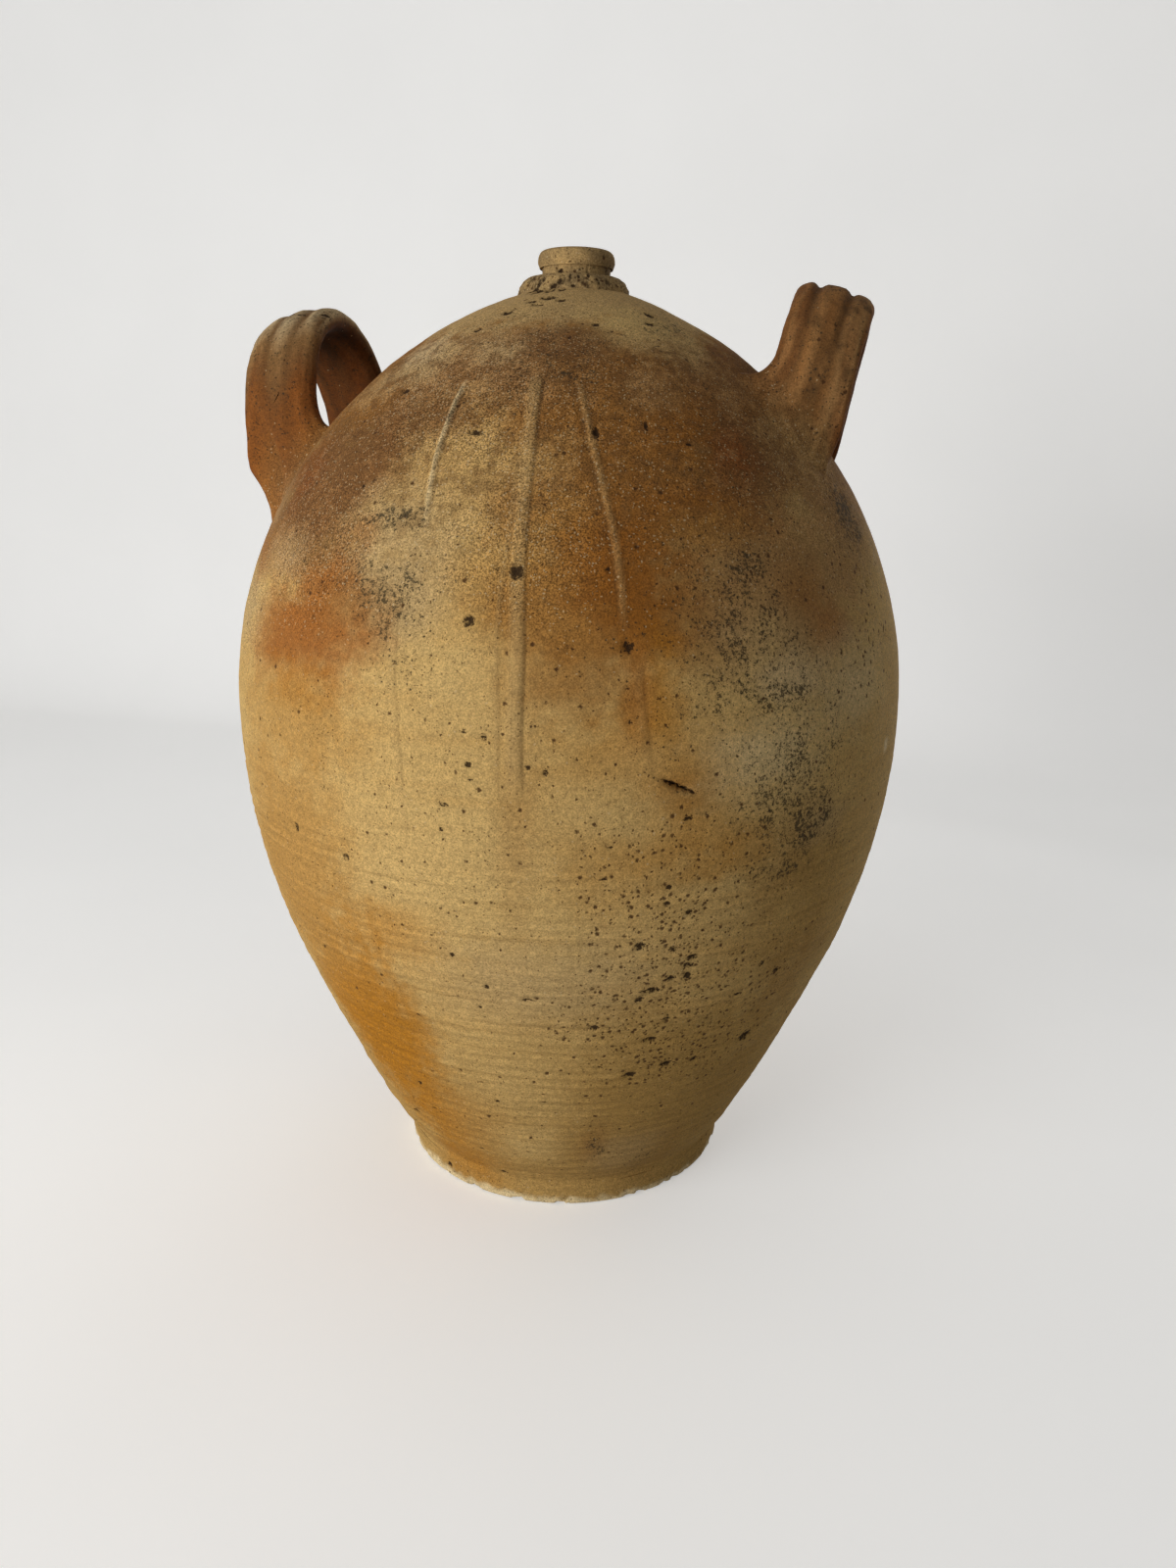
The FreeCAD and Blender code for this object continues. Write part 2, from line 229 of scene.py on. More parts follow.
class StageLook(bpy.types.PropertyGroup):
    """Floor, light and camera."""

    floor: tint("Floor", "Colour of the floor and backdrop", (0.86, 0.855, 0.84))
    bounce: tint("Bounce", "Colour of the light that the floor throws back on the jar", (0.45, 0.44, 0.42))
    glow: factor("Paper glow", "How much paler the eye sees the paper", 0.45)
    backdrop_distance: length("Backdrop distance", "How far the backdrop stands behind the jar", 0.9)
    key_power: watts("Key light", "Power of the window-like light", 20)
    key_place: position("Key place", "Place of the window-like light", (-1.05, -1.34, 0.4))
    back_power: watts("Back light", "Power of the soft light behind", 0.55)
    back_place: position("Back place", "Place of the soft light behind", (0.3, 0.82, 0.32))
    top_power: watts("Top light", "Power of the soft light overhead", 0.9)
    top_place: position("Top place", "Place of the soft light overhead", (-0.1, -0.25, 1.6))
    fill: factor("Fill", "Strength of the light from all round", 0.2)
    sky: factor("Sky", "How pale the eye sees the surroundings", 0.72)
    eye: position("Eye", "Place of the camera", (142.6 * MM, -618.4 * MM, 395.2 * MM))
    turn: angle("Turn", "Bearing of the camera's view to the left", 12)
    pitch: angle("Pitch", "How far the camera looks down", 15.78)
    roll: angle("Roll", "Tilt of the camera about its view", 1.06)
    lens: factor("Lens", "Focal length for a frame 36 mm high, in millimetres", 25.99)


class OliveJar(bpy.types.PropertyGroup):
    """All the settings of the jar."""

    sizes: PointerProperty(type=JarSizes)
    left_hoop: PointerProperty(type=LeftHoop)
    right_hoop: PointerProperty(type=RightHoop)
    tints: PointerProperty(type=ClayTints)
    finish: PointerProperty(type=Finish)
    stage: PointerProperty(type=StageLook)


class Arc(namedtuple("Arc", "centre_radius centre_height size")):
    """One circular stretch of the wall's outline, as radius against height."""

    def radius(self, height):
        return self.centre_radius + np.sqrt(np.maximum(self.size**2 - (height - self.centre_height) ** 2, 0))


class Outline:
    """Outer outline of the wall: the dome over the belly and two arcs down to the waist."""

    def __init__(self, sizes):
        belly, neck = sizes.belly_radius - sizes.belly_slack, sizes.neck_radius
        rise = sizes.shoulder_height - sizes.belly_height
        dome_centre = (belly**2 - neck**2 - rise**2) / (2 * (belly - neck))
        self.belly_height = sizes.belly_height
        self.joint_height = sizes.belly_height - sizes.lower_drop
        self.sizes = sizes
        toe = Vector((sizes.foot_radius + sizes.flank_overhang, sizes.foot_height + sizes.flank_rise))
        self.dome = Arc(dome_centre, sizes.belly_height, belly - dome_centre)
        self.lower = Arc(belly - sizes.lower_curve, sizes.belly_height, sizes.lower_curve)
        joint = Vector((float(self.lower.radius(self.joint_height)), self.joint_height))
        inward = (Vector((self.lower.centre_radius, self.lower.centre_height)) - joint).normalized()
        chord = joint - toe
        size = -chord.length_squared / (2 * inward.dot(chord))
        self.flank = Arc(*(joint + inward * size), size)

    def pick(self, height, dome, lower, flank):
        below = np.where(height >= self.joint_height, lower, flank)
        return np.where(height >= self.belly_height, dome, below)

    def radius(self, height):
        height = np.asarray(height, float)
        plain = self.pick(height, *(arc.radius(height) for arc in (self.dome, self.lower, self.flank)))
        sizes, foot = self.sizes, self.sizes.foot_radius
        ease = sizes.flank_ease * unit((self.joint_height - height) / (70 * MM))
        pinch = sizes.waist_pinch * np.exp(-(((height - sizes.foot_height) / MM - 3) / 9) ** 2)
        drawn = (plain - ease - pinch - foot) / sizes.waist_soft
        return np.where(height < self.joint_height, foot + sizes.waist_soft * np.logaddexp(0, drawn), plain)

    def normal(self, radius, height):
        """Outward direction of the wall, along the radius and along the height."""
        arcs = (self.dome, self.lower, self.flank)
        out = self.pick(height, *((radius - arc.centre_radius) / arc.size for arc in arcs))
        rise = self.pick(height, *((height - arc.centre_height) / arc.size for arc in arcs))
        reach = np.hypot(out, rise)
        return out / reach, rise / reach

    def rise(self, low, high, share):
        """Height at a share of the way from low to high, by length along the outline."""
        heights = np.linspace(low, high, 600)
        steps = np.hypot(np.diff(self.radius(heights)), np.diff(heights))
        along = np.concatenate(([0], np.cumsum(steps)))
        return float(np.interp(share * along[-1], along, heights))

    def on_dome(self, point, sink=0.0):
        """Nearest place on the dome to a point, moved inward by sink."""
        reach = math.hypot(point.x, point.y)
        spoke = Vector((reach - self.dome.centre_radius, point.z - self.dome.centre_height))
        spoke = spoke.normalized() * (self.dome.size - sink)
        scale = (self.dome.centre_radius + spoke.x) / reach
        return Vector((point.x * scale, point.y * scale, self.dome.centre_height + spoke.y))

    def over_dome(self, point):
        """Height of a point over the dome's surface."""
        reach = math.hypot(point.x, point.y) - self.dome.centre_radius
        return math.hypot(reach, point.z - self.dome.centre_height) - self.dome.size


# Marks of firing and age, with painted shade by the left strap's foot and painted shade and light along the
# runs. A bearing is in degrees from the front, positive to the right.

Patch = namedtuple("Patch", "tint bearing height spread reach strength soft lean", defaults=(0.8, 0.6, 0.0))
Stain = namedtuple("Stain", "bearing height spread reach strength")
Run = namedtuple("Run", "path band raised line dark pale tint", defaults=("tan",))
Spot = namedtuple("Spot", "bearing height wide tall tilt", defaults=(0.0,))

# Patches of tint, laid over one another in this order: tint, bearing, height, half its width in degrees and
# half its height in millimetres, strength, softness of the border, and lean in degrees per millimetre.
PATCHES = [Patch(*row) for row in (
    # the plain ground
    ("straw", -8, 222, 16, 36, 0.7), ("straw", 14, 214, 12, 30, 0.5), ("ashen", 10, 165, 16, 26, 0.6),
    ("khaki", 0, 40, 400, 78, 0.75), ("khaki", 34, 96, 26, 52, 0.8), ("honey", -36, 218, 14, 46, 0.8),
    ("honey", -34, 284, 13, 20, 0.7), ("honey", 22, 250, 12, 40, 0.6),
    # the burnt shoulder
    ("umber", 0, 448, 400, 68, 0.95, 0.26), ("umber", 25, 388, 22, 30, 0.9, 0.4),
    ("umber", 26, 336, 13, 24, 0.75), ("taupe", 50, 350, 17, 36, 0.85), ("taupe", 72, 384, 14, 34, 0.8),
    ("russet", 33, 376, 13, 12, 0.8, 0.7), ("russet", 20, 362, 8, 13, 0.7, 0.7),
    ("russet", 38, 412, 11, 11, 0.6, 0.8), ("char", 15, 432, 9, 10, 0.5),
    ("russet", 17, 342, 12, 25, 0.95, 0.5), ("char", 51, 404, 10, 22, 0.85),
    ("char", 62, 438, 24, 16, 0.75), ("char", -34, 385, 17, 34, 1.0, 0.32, 0.38),
    ("scorch", -8, 438, 26, 18, 0.85, 0.5), ("umber", 20, 436, 14, 16, 0.7),
    ("taupe", 30, 427, 7, 9, 0.6), ("char", 9, 448, 10, 7, 0.6), ("ashen", -34, 440, 10, 9, 0.75),
    ("ashen", -20, 449, 9, 5, 0.4), ("tan", 0, 480, 400, 25, 1.0, 0.36), ("tan", 38, 453, 17, 9, 0.8),
    # pale ground between the burnt places
    ("buff", -9, 388, 10, 29, 0.75, 0.7), ("straw", -7, 358, 6, 13, 0.6),
    ("buff", -14, 352, 13, 22, 0.9, 0.5), ("ashen", -16, 369, 9, 15, 0.7),
    ("ashen", -15, 342, 10, 20, 0.8), ("honey", 3, 342, 7, 20, 0.7), ("straw", -1, 310, 8, 15, 0.7),
    ("honey", 10, 318, 8, 22, 0.5), ("honey", 10, 366, 6, 18, 0.45), ("umber", 4, 377, 4, 15, 0.4),
    ("char", -31, 355, 8, 14, 0.75), ("tan", 63, 404, 10, 16, 0.4),
    # flashes of the flame
    ("sienna", -34, 318, 14, 19, 0.95, 0.7), ("sienna", -27, 334, 7, 18, 0.7, 0.7),
    ("sienna", -22, 366, 3, 6, 0.5, 0.8), ("char", -68, 372, 18, 28, 0.85),
    ("sienna", -70, 362, 10, 18, 0.7), ("ashen", -56, 326, 10, 16, 0.75),
    ("sienna", -50, 352, 9, 13, 0.6), ("russet", 50, 334, 5, 22, 0.6, 0.9),
    ("flame", 24, 300, 4, 26, 0.7, 0.8), ("sienna", 22, 306, 2, 24, 0.55, 0.8),
    ("flame", 29, 262, 9, 28, 0.5, 0.8), ("russet", 28, 262, 5, 10, 0.35, 0.8),
    ("flame", -29, 112, 13, 62, 1.0, 0.6, -0.03), ("flame", -26, 120, 9, 40, 0.6, 0.8, -0.03),
    ("flame", -18, 54, 7, 24, 0.7, 0.9), ("straw", 3, 98, 11, 34, 0.55, 0.8),
    ("flame", -20, 20, 12, 16, 0.6, 0.8), ("honey", -42, 186, 14, 40, 0.8, 0.8),
    # smaller burnt, pale and flashed places, and painted shade by the left strap's foot
    # the bark patch at bearing -48 and height 405 is painted shade in the crevice where the left strap meets
    # the dome
    ("cream", 74, 263, 1.0, 3.5, 0.9, 0.4), ("bark", -48, 405, 9, 9, 0.7, 0.6),
    ("ember", -51, 388, 9, 14, 0.6, 0.8), ("ashen", -44, 353, 7, 10, 0.55, 0.8),
    ("umber", 14, 311, 7, 15, 0.6, 0.8), ("umber", 6, 338, 5, 14, 0.6, 0.8),
    ("russet", -21, 334, 6, 11, 0.55, 0.8), ("straw", 16, 255, 6, 12, 0.6, 0.8),
    ("ashen", 46, 322, 10, 14, 0.5, 0.8), ("straw", 46, 276, 12, 32, 0.8, 0.9),
    ("ashen", 57, 298, 7, 16, 0.45, 0.8), ("sienna", 55, 328, 4, 10, 0.5, 0.9),
    ("honey", 34, 370, 7, 8, 0.4, 0.8), ("honey", -9, 62, 8, 24, 0.6, 0.9),
    ("char", -28, 400, 8, 10, 0.4, 0.8), ("char", 22, 46, 22, 22, 0.1, 0.9),
    ("ashen", -44, 430, 9, 9, 0.4, 0.8), ("straw", 34, 459, 16, 7, 0.9, 0.7),
    ("char", 3, 449, 11, 6, 0.6, 0.7), ("tan", 47, 446, 9, 8, 0.45, 0.8),
    ("taupe", 55, 430, 9, 8, 0.5, 0.8), ("russet", 18, 361, 7, 11, 0.6, 0.8),
    ("flame", -31, 297, 7, 10, 0.4, 0.8), ("ashen", -62, 372, 8, 12, 0.4, 0.8),
    ("umber", 5.5, 250, 2.4, 44, 0.3, 0.9), ("umber", 20.5, 52, 3, 11, 0.45, 0.95),
    ("umber", 38, 34, 10, 18, 0.15, 0.9), ("ashen", 30, 42, 8, 14, 0.45, 0.9),
    ("buff", 3, 397, 8, 10, 0.5, 0.8), ("sienna", -22.5, 324, 4, 8, 0.35, 0.8),
    ("umber", 50, 222, 7, 22, 0.35, 0.9), ("straw", 22, 251, 5, 12, 0.6, 0.8),
    ("cream", 41, 275, 8, 14, 0.45, 0.9), ("cream", 62, 300, 7, 18, 0.35, 0.9),
    ("khaki", 55, 204, 9, 32, 0.7, 0.9), ("salt", -40, 446, 7, 6, 0.5, 0.8),
    ("char", -14, 415, 5, 7, 0.75, 0.8), ("bark", -27, 416, 9, 8, 0.3, 0.8),
    ("char", 0, 425, 6, 7, 0.35, 0.8), ("bark", 15.5, 451, 8, 6, 0.65, 0.8),
    ("flame", -17, 188, 8, 14, 0.5, 0.9), ("flame", 37, 231, 5, 10, 0.45, 0.9),
    ("ember", 44, 400, 5, 9, 0.7, 0.8), ("umber", 4.5, 410, 4, 9, 0.5, 0.8),
    ("bark", -36, 403, 6, 8, 0.55, 0.8), ("sienna", -19.5, 318, 4, 8, 0.4, 0.8),
    ("ashen", -8, 443, 6, 5, 0.7, 0.8), ("salt", 46, 308, 5, 9, 0.45, 0.9),
    ("ashen", 55, 238, 5, 9, 0.6, 0.9), ("straw", 23, 275, 4, 9, 0.45, 0.9),
    ("straw", 4, 50, 7, 12, 0.7, 0.9), ("bark", 16.5, 443, 6, 5, 0.45, 0.8),
    ("umber", 58, 150, 8, 20, 0.3, 0.9),
    # the side turned away
    ("sienna", 150, 330, 26, 34, 0.8), ("ashen", 190, 360, 22, 40, 0.8),
    ("flame", 215, 300, 18, 60, 0.7, 0.8), ("flame", 120, 200, 22, 80, 0.6, 0.8),
    ("straw", 235, 390, 16, 26, 0.8), ("ashen", 175, 150, 40, 70, 0.6),
    ("flame", 255, 110, 20, 70, 0.7), ("scorch", 175, 428, 50, 18, 0.8),
)]

# Mottles, pits and pale specks: bearing, height, half the width and the height, and strength.
STAINS = {
    "mottle": [Stain(*row) for row in (
        (-16, 372, 7, 8, 0.85), (-15, 341, 9, 17, 0.7), (-11, 318, 5, 18, 0.45),
        (39, 324, 15, 50, 0.66), (47, 258, 13, 50, 0.68), (41, 356, 8, 10, 0.72),
        (42, 300, 7, 10, 0.78), (51, 241, 7, 14, 0.8), (47, 218, 4, 6, 0.75), (71, 371, 7, 17, 0.85),
        (30, 296, 4, 7, 0.6), (24, 328, 8, 14, 0.45), (33, 350, 7, 14, 0.45), (9, 436, 14, 16, 0.55),
        (3, 450, 8, 5, 0.6), (20.5, 53, 2.2, 9, 0.72), (22.5, 46, 1.6, 5, 0.7), (37, 33, 5, 8, 0.4),
        (-14, 424, 15, 10, 0.45), (-8, 460, 26, 8, 0.5), (46, 459, 16, 8, 0.66), (0, 440, 180, 26, 0.3),
        (200, 350, 16, 30, 0.6), (140, 250, 16, 44, 0.6),
    )],
    "pits": [Stain(*row) for row in (
        (28, 195, 11, 42, 0.9), (33, 150, 15, 26, 0.9), (35, 120, 16, 20, 1.0), (21, 148, 11, 22, 0.6),
        (44, 136, 11, 24, 0.8), (66, 326, 9, 36, 0.4), (160, 170, 26, 60, 0.7),
        (0, 240, 400, 240, 0.05),
    )],
    "salt": [Stain(*row) for row in (
        (0, 410, 400, 56, 0.5), (-10, 424, 36, 32, 1.0), (-36, 366, 18, 34, 0.9),
        (-56, 336, 12, 30, 1.0), (8, 372, 13, 34, 0.8),
    )],
}

# Runs down the shoulder: height and bearing along the path, width to its left and height of the band,
# offset of its dark edge to the right, how dark that edge and how pale the band is, and the band's tint.
# the dark edge is painted shadow beside the raised band, and the pale band is partly paler clay, partly
# painted highlight on its lit side
RUNS = [
    Run(((431, -12.8), (400, -11.8), (366, -10.4)), 1.7, 1.3, 1.3, 0.4, 0.66, "cream"),
    Run(((434, 5.7), (398, 5.7), (358, 6.2), (299, 6.4), (256, 6.8)), 5.5, 0.6, 0.6, 0.5, 0.5),
    Run(((400, 3.6), (333, 3.0), (262, 3.4)), 1.6, 0.25, 0.4, 0.2, 0.3),
    Run(((431, 14.4), (410, 16.5), (392, 18.2), (369, 19.7), (326, 20.9)), 3.0, 0.7, -3.8, 0.45, 0.3),
    Run(((345, -13.0), (296, -11.4), (230, -9.8)), 3.0, 0.2, 0.4, 0.22, 0.2),
    Run(((318, 22.6), (262, 24.0)), 3.0, 0.2, 0.4, 0.22, 0.1),
    Run(((430, 168), (396, 170), (340, 171)), 3.0, 0.9, 1.2, 0.35, 0.6),
    Run(((424, 206), (380, 203), (296, 204)), 4.0, 0.7, 0.8, 0.4, 0.5),
    Run(((418, 131), (352, 133)), 2.4, 0.8, 1.0, 0.35, 0.6),
]

# Chips, burst grains and short slits: bearing, height, width and height in millimetres, and tilt.
SPOTS = [Spot(*row) for row in (
    (5, 352, 6.4, 5.6), (2.2, 353, 2.4, 2.2), (-1.3, 332, 4.8, 4.6), (20.7, 323, 5.6, 5.0),
    (-1.3, 287, 2.8, 2.2), (1.5, 285.5, 3.2, 3.0), (-0.7, 273, 3.8, 2.8), (-0.3, 266.5, 2.8, 2.2),
    (-4.7, 243, 2.8, 2.6), (-33.5, 227, 3.4, 5.4), (-22, 220.5, 4.2, 3.4), (-4.3, 254.5, 6.4, 1.8),
    (9.8, 271, 4.0, 3.0), (7.5, 273.5, 3.0, 2.4), (20.9, 292.5, 2.8, 2.8), (18.2, 353.5, 2.4, 2.2),
    (18.6, 238, 3.4, 1.8), (15, 237, 3.0, 2.0), (18, 223, 3.8, 2.0), (27.5, 218, 3.4, 2.6),
    (27.4, 209.5, 3.6, 2.8), (31, 204, 4.0, 3.6), (24, 188, 6.0, 3.8), (33, 179, 7.0, 3.4),
    (29.6, 184.5, 4.4, 3.2), (32.6, 169, 4.4, 4.0), (29.8, 168, 5.4, 3.8), (32.5, 174.5, 5.0, 3.0),
    (26.7, 162, 10.0, 3.2), (25, 157, 4.6, 3.4), (30.7, 143, 4.4, 3.8), (44, 150, 6.4, 2.0),
    (42.5, 176, 3.0, 3.0), (47.8, 166, 3.4, 3.8), (52.3, 158, 4.4, 3.4), (17.8, 141, 4.0, 3.4),
    (28.4, 130, 8.0, 3.8), (33.3, 111, 7.0, 4.0), (39.5, 110, 4.6, 4.0), (52, 115.5, 9.0, 6.0),
    (26, 106.5, 8.0, 3.6), (8.7, 87, 3.6, 1.8), (-4.9, 180, 2.8, 2.6), (0.1, 164, 3.2, 2.6),
    (-1.6, 151, 2.4, 2.2), (6.7, 157.5, 7.0, 1.6), (-14.6, 137, 2.8, 2.2), (-22.2, 83, 3.4, 2.0),
    (-31, 51, 6.0, 3.0), (-21.5, 64, 4.0, 1.6), (-1.9, 85, 3.2, 2.4), (-10.6, 40, 3.4, 1.8),
    (-30.5, 8, 4.6, 3.6), (-7, 18.5, 4.6, 2.6), (70, 343, 2.8, 6.0), (74, 321, 3.0, 5.0),
    (66.6, 318, 2.6, 4.4), (-30, 426, 6.0, 2.4), (-6, 407.5, 8.0, 2.2), (17, 408, 3.4, 5.0),
    (27, 411.5, 2.2, 4.2), (34.7, 404, 3.4, 1.8), (-26, 384, 2.4, 2.2),
    # a scratch with a slit under it, and spots on the side turned away
    (28, 264.3, 19.0, 2.5, 0.45), (29.7, 249.5, 5.0, 2.4), (152, 306, 5.0, 4.2), (171, 268, 4.0, 3.4),
    (184, 331, 5.4, 4.6), (196, 222, 6.0, 2.6), (208, 296, 3.6, 3.2), (228, 251, 4.4, 3.6),
    (163, 182, 5.0, 2.8), (187, 146, 6.0, 3.2), (218, 118, 5.0, 2.6), (139, 208, 4.0, 3.2),
    (243, 196, 4.0, 3.0), (176, 92, 4.6, 2.4), (121, 141, 4.4, 3.4),
    # round the neck
    (95, 462, 5.0, 2.4), (128, 470, 6.0, 1.8), (150, 459, 4.0, 2.0), (188, 466, 6.0, 2.2),
    (214, 472, 5.0, 1.6), (246, 461, 4.0, 2.4), (278, 468, 5.0, 1.8), (104, 478, 4.0, 2.6),
    (160, 478.5, 5.0, 2.6), (232, 477.5, 5.0, 2.4), (290, 479, 3.0, 2.8), (196, 484, 2.0, 2.6),
    (-18, 464, 5.0, 2.4), (-16.6, 466, 3.0, 1.4), (47.6, 464.3, 5.0, 2.6), (42.5, 459.1, 7.0, 2.0),
    (4.8, 470.8, 6.0, 1.6), (-6.2, 468, 7.0, 1.6), (-3.7, 472.2, 8.0, 1.8), (-12, 470, 6.0, 1.4),
    (-23, 455, 4.0, 2.0), (20, 457, 4.0, 1.5), (-14.5, 488.2, 4.5, 2.4), (-3.5, 482.3, 4.5, 2.8),
    (6.5, 484.8, 1.8, 2.6), (15.5, 484.8, 1.6, 2.4), (27, 485.4, 1.4, 2.2), (-31.5, 478.3, 5.0, 2.8),
    (-21, 477.2, 6.0, 2.8), (-10.4, 477.4, 5.0, 2.6), (0, 477.6, 4.0, 2.0), (-25, 483.6, 2.0, 2.6),
    (-11.3, 480.3, 3.5, 2.6), (-30, 480.8, 2.4, 3.0), (10, 480.1, 2.6, 1.8), (38, 482, 1.4, 2.4),
)]


def wrapped(bearing, middle):
    """Difference of two bearings, from -180 to 180 degrees."""
    return (bearing - middle + 180) % 360 - 180


def unit(values):
    """Values held between 0 and 1."""
    return np.clip(values, 0, 1)


def eased(values):
    """Values held between 0 and 1, with a soft start and end."""
    share = unit(values)
    return share * share * (3 - 2 * share)


def fade(distance, soft):
    """One inside, nothing outside, with an even change across the soft border."""
    return eased((1 + soft - distance) / (2 * soft))


def cloud(points, pitch, seed, octaves=3):
    """Fractal noise at each point, about -1 to 1, with swells as wide as pitch."""
    shift = Vector((seed * 3.7, seed * 1.9, seed * 5.3))
    return np.array([noise.fractal(Vector(p) / pitch + shift, 1.0, 2.0, octaves) for p in points])


def lay(colour, tint, amount):
    """Lays an amount of a tint over the colour of each vertex."""
    colour += (np.array(tint) - colour) * unit(amount)[:, None]


class Weather:
    """Relief, tint, stains and marks of the body at any place on it."""

    def __init__(self, points, settings):
        self.points = points
        self.settings = settings
        self.radius = np.hypot(points[:, 0], points[:, 1])
        self.height = points[:, 2] / MM
        self.bearing = np.degrees(np.arctan2(points[:, 0], -points[:, 1]))
        self.broad = cloud(points, 34 * MM, 1)
        self.fine = cloud(points, 9 * MM, 2)
        self.streak = cloud(points * np.array((1, 1, 9)), 60 * MM, 3)
        self.grit = cloud(points, 4 * MM, 4, 2)
        self.mm_per_degree = np.maximum(self.radius / MM, 15) * math.pi / 180

    def near(self, mark, soft, lean=0.0):
        """How much of a mark lies at each place, with a ragged border."""
        ripple = self.broad * 0.26 + self.fine * 0.26 + self.streak * 0.12 + self.grit * 0.16
        along = self.height - mark.height
        across = wrapped(self.bearing, mark.bearing + lean * along) / mark.spread
        square = np.abs(across) ** PATCH_POWER + np.abs(along / mark.reach) ** PATCH_POWER
        return fade(square ** (1 / PATCH_POWER) + ripple, soft)

    def run(self, run):
        """Distance to the right of a run's path in millimetres, and its strength along its length."""
        heights, bearings = zip(*reversed(run.path))
        middle = np.interp(self.height, heights, bearings)
        across = wrapped(self.bearing, middle) * self.mm_per_degree
        across += 0.5 * np.sin(self.height / 13 + run.band)
        ends = unit((heights[-1] - self.height) / 6) * unit((self.height - heights[0]) / 18)
        return across, ends

    def band(self, run, across):
        """Share of a run's raised band: soft on its left, crisp on its right."""
        soft = 0.35 * run.band
        return eased((across + run.band + soft) / (2 * soft)) * eased((0.8 - across) / 1.6)

    def relief(self):
        """Height of the surface over the outline, in metres."""
        finish = self.settings.finish
        relief = finish.ring_depth * self.rings() + finish.unevenness * (0.5 * self.broad + 0.1 * self.fine)
        for run in RUNS:
            across, ends = self.run(run)
            relief += run.raised * MM * ends * self.band(run, across) * (0.85 + 0.3 * self.fine)
            relief -= EDGE_GROOVE * ends * np.exp(-((across - run.line) ** 2))
        return relief - self.dents()

    def rings(self):
        """Throwing rings, from -1 in the grooves to 1 on the ridges, fading out up the belly."""
        turn = self.height * MM / self.settings.finish.ring_pitch + self.bearing / 360 + 0.22 * self.broad
        swell = np.clip(0.5 + 1.1 * self.streak, 0.1, 1.2)
        swell *= 0.1 + 0.9 * unit((RINGS_END - self.height) / RINGS_FADE)
        swell *= 0.72 + 0.4 * np.cos(np.radians(self.bearing + 60))
        ridges = np.sin(2 * math.pi * turn) + 0.4 * np.sin(2 * math.pi * (2.4 * turn + 0.4 * self.broad))
        return 0.8 * swell * ridges

    def dents(self):
        """Depth of the chips and burst grains, in metres."""
        depth = np.zeros(len(self.points))
        for spot in SPOTS:
            depth += CHIP_DEPTH * max(spot.wide, spot.tall) * MM * unit(self.over_spot(spot))
        return depth

    def over_spot(self, spot):
        """One at the middle of a spot, nothing at its border and less outside."""
        aside = wrapped(self.bearing, spot.bearing) * self.mm_per_degree
        along = self.height - spot.height + spot.tilt * aside
        return 1 - (aside / (spot.wide / 2)) ** 2 - (along / (spot.tall / 2)) ** 2

    def wash(self):
        """Tint of the clay at each place, with painted shade in the grooves of the throwing rings and
        painted light on their ridges.
        """
        tints = self.settings.tints
        colour = np.tile(np.array(tints.buff), (len(self.points), 1))
        lay(colour, tints.straw, unit(0.35 + 0.8 * self.broad) * 0.5)
        lay(colour, tints.honey, unit(0.2 + 0.9 * self.streak) * 0.35)
        for patch in PATCHES:
            here = self.near(patch, patch.soft, patch.lean)
            lay(colour, getattr(tints, patch.tint), patch.strength * here)
        burnt = unit((self.height - 330) / 60) * unit((456 - self.height) / 10)
        lay(colour, tints.bark, burnt * np.clip(0.7 * self.fine + 0.8 * self.grit + 0.2, 0, 0.6))
        lay(colour, tints.taupe, burnt * np.clip(-0.4 * self.fine - 0.5 * self.grit - 0.06, 0, 0.35))
        # pale band of each run: partly paler clay, partly painted highlight on its lit side
        for run in RUNS:
            across, ends = self.run(run)
            lay(colour, getattr(tints, run.tint), run.pale * ends * self.band(run, across))
        # painted shade in the grooves of the throwing rings and painted light on their ridges
        return colour * (1 + 0.11 * self.rings())[:, None]

    def stains(self):
        """Share of mottles, pits and pale specks at each place."""
        shares = [[stain.strength * self.near(stain, 0.8) for stain in kind] for kind in STAINS.values()]
        return np.stack([np.max(kind, axis=0) for kind in shares], axis=1)

    def marks(self):
        """Depth inside the nearest spot, then distance to a run's dark edge and how dark that painted shadow
        is.
        """
        spots = np.full(len(self.points), -3.0)
        for spot in SPOTS:
            spots = np.maximum(spots, self.over_spot(spot))
        edge, dark = np.full(len(self.points), 8.0), np.zeros(len(self.points))
        for run in RUNS:
            across, ends = self.run(run)
            gap = across - run.line
            close = np.abs(gap) < np.abs(edge)
            edge[close], dark[close] = gap[close], (ends * run.dark)[close]
        return np.stack([spots, edge, dark], axis=1)


# Materials

class Nodes:
    """Adds nodes to the tree of a material or a world and links them."""

    def __init__(self, owner):
        owner.use_nodes = True
        self.tree = owner.node_tree

    def node(self, kind, settings=None, **inputs):
        made = self.tree.nodes.new(kind)
        for key, value in (settings or {}).items():
            setattr(made, key, value)
        for key, value in inputs.items():
            self.feed(made.inputs[key.replace("_", " ")], value)
        return made

    def feed(self, socket, value):
        if isinstance(value, bpy.types.NodeSocket):
            self.tree.links.new(value, socket)
        else:
            socket.default_value = value

    def maths(self, operation, first, second=0.0):
        made = self.node("ShaderNodeMath", {"operation": operation})
        self.feed(made.inputs[0], first)
        self.feed(made.inputs[1], second)
        return made.outputs[0]

    def plus(self, first, second):
        return self.maths("ADD", first, second)

    def times(self, first, second):
        return self.maths("MULTIPLY", first, second)

    def seen(self):
        """One for the rays that bring a surface to the eye, straight, mirrored or through glass."""
        rays = self.node("ShaderNodeLightPath").outputs
        shown = self.maths("MAXIMUM", rays["Is Camera Ray"], rays["Is Glossy Ray"])
        return self.maths("MAXIMUM", shown, rays["Is Transmission Ray"])


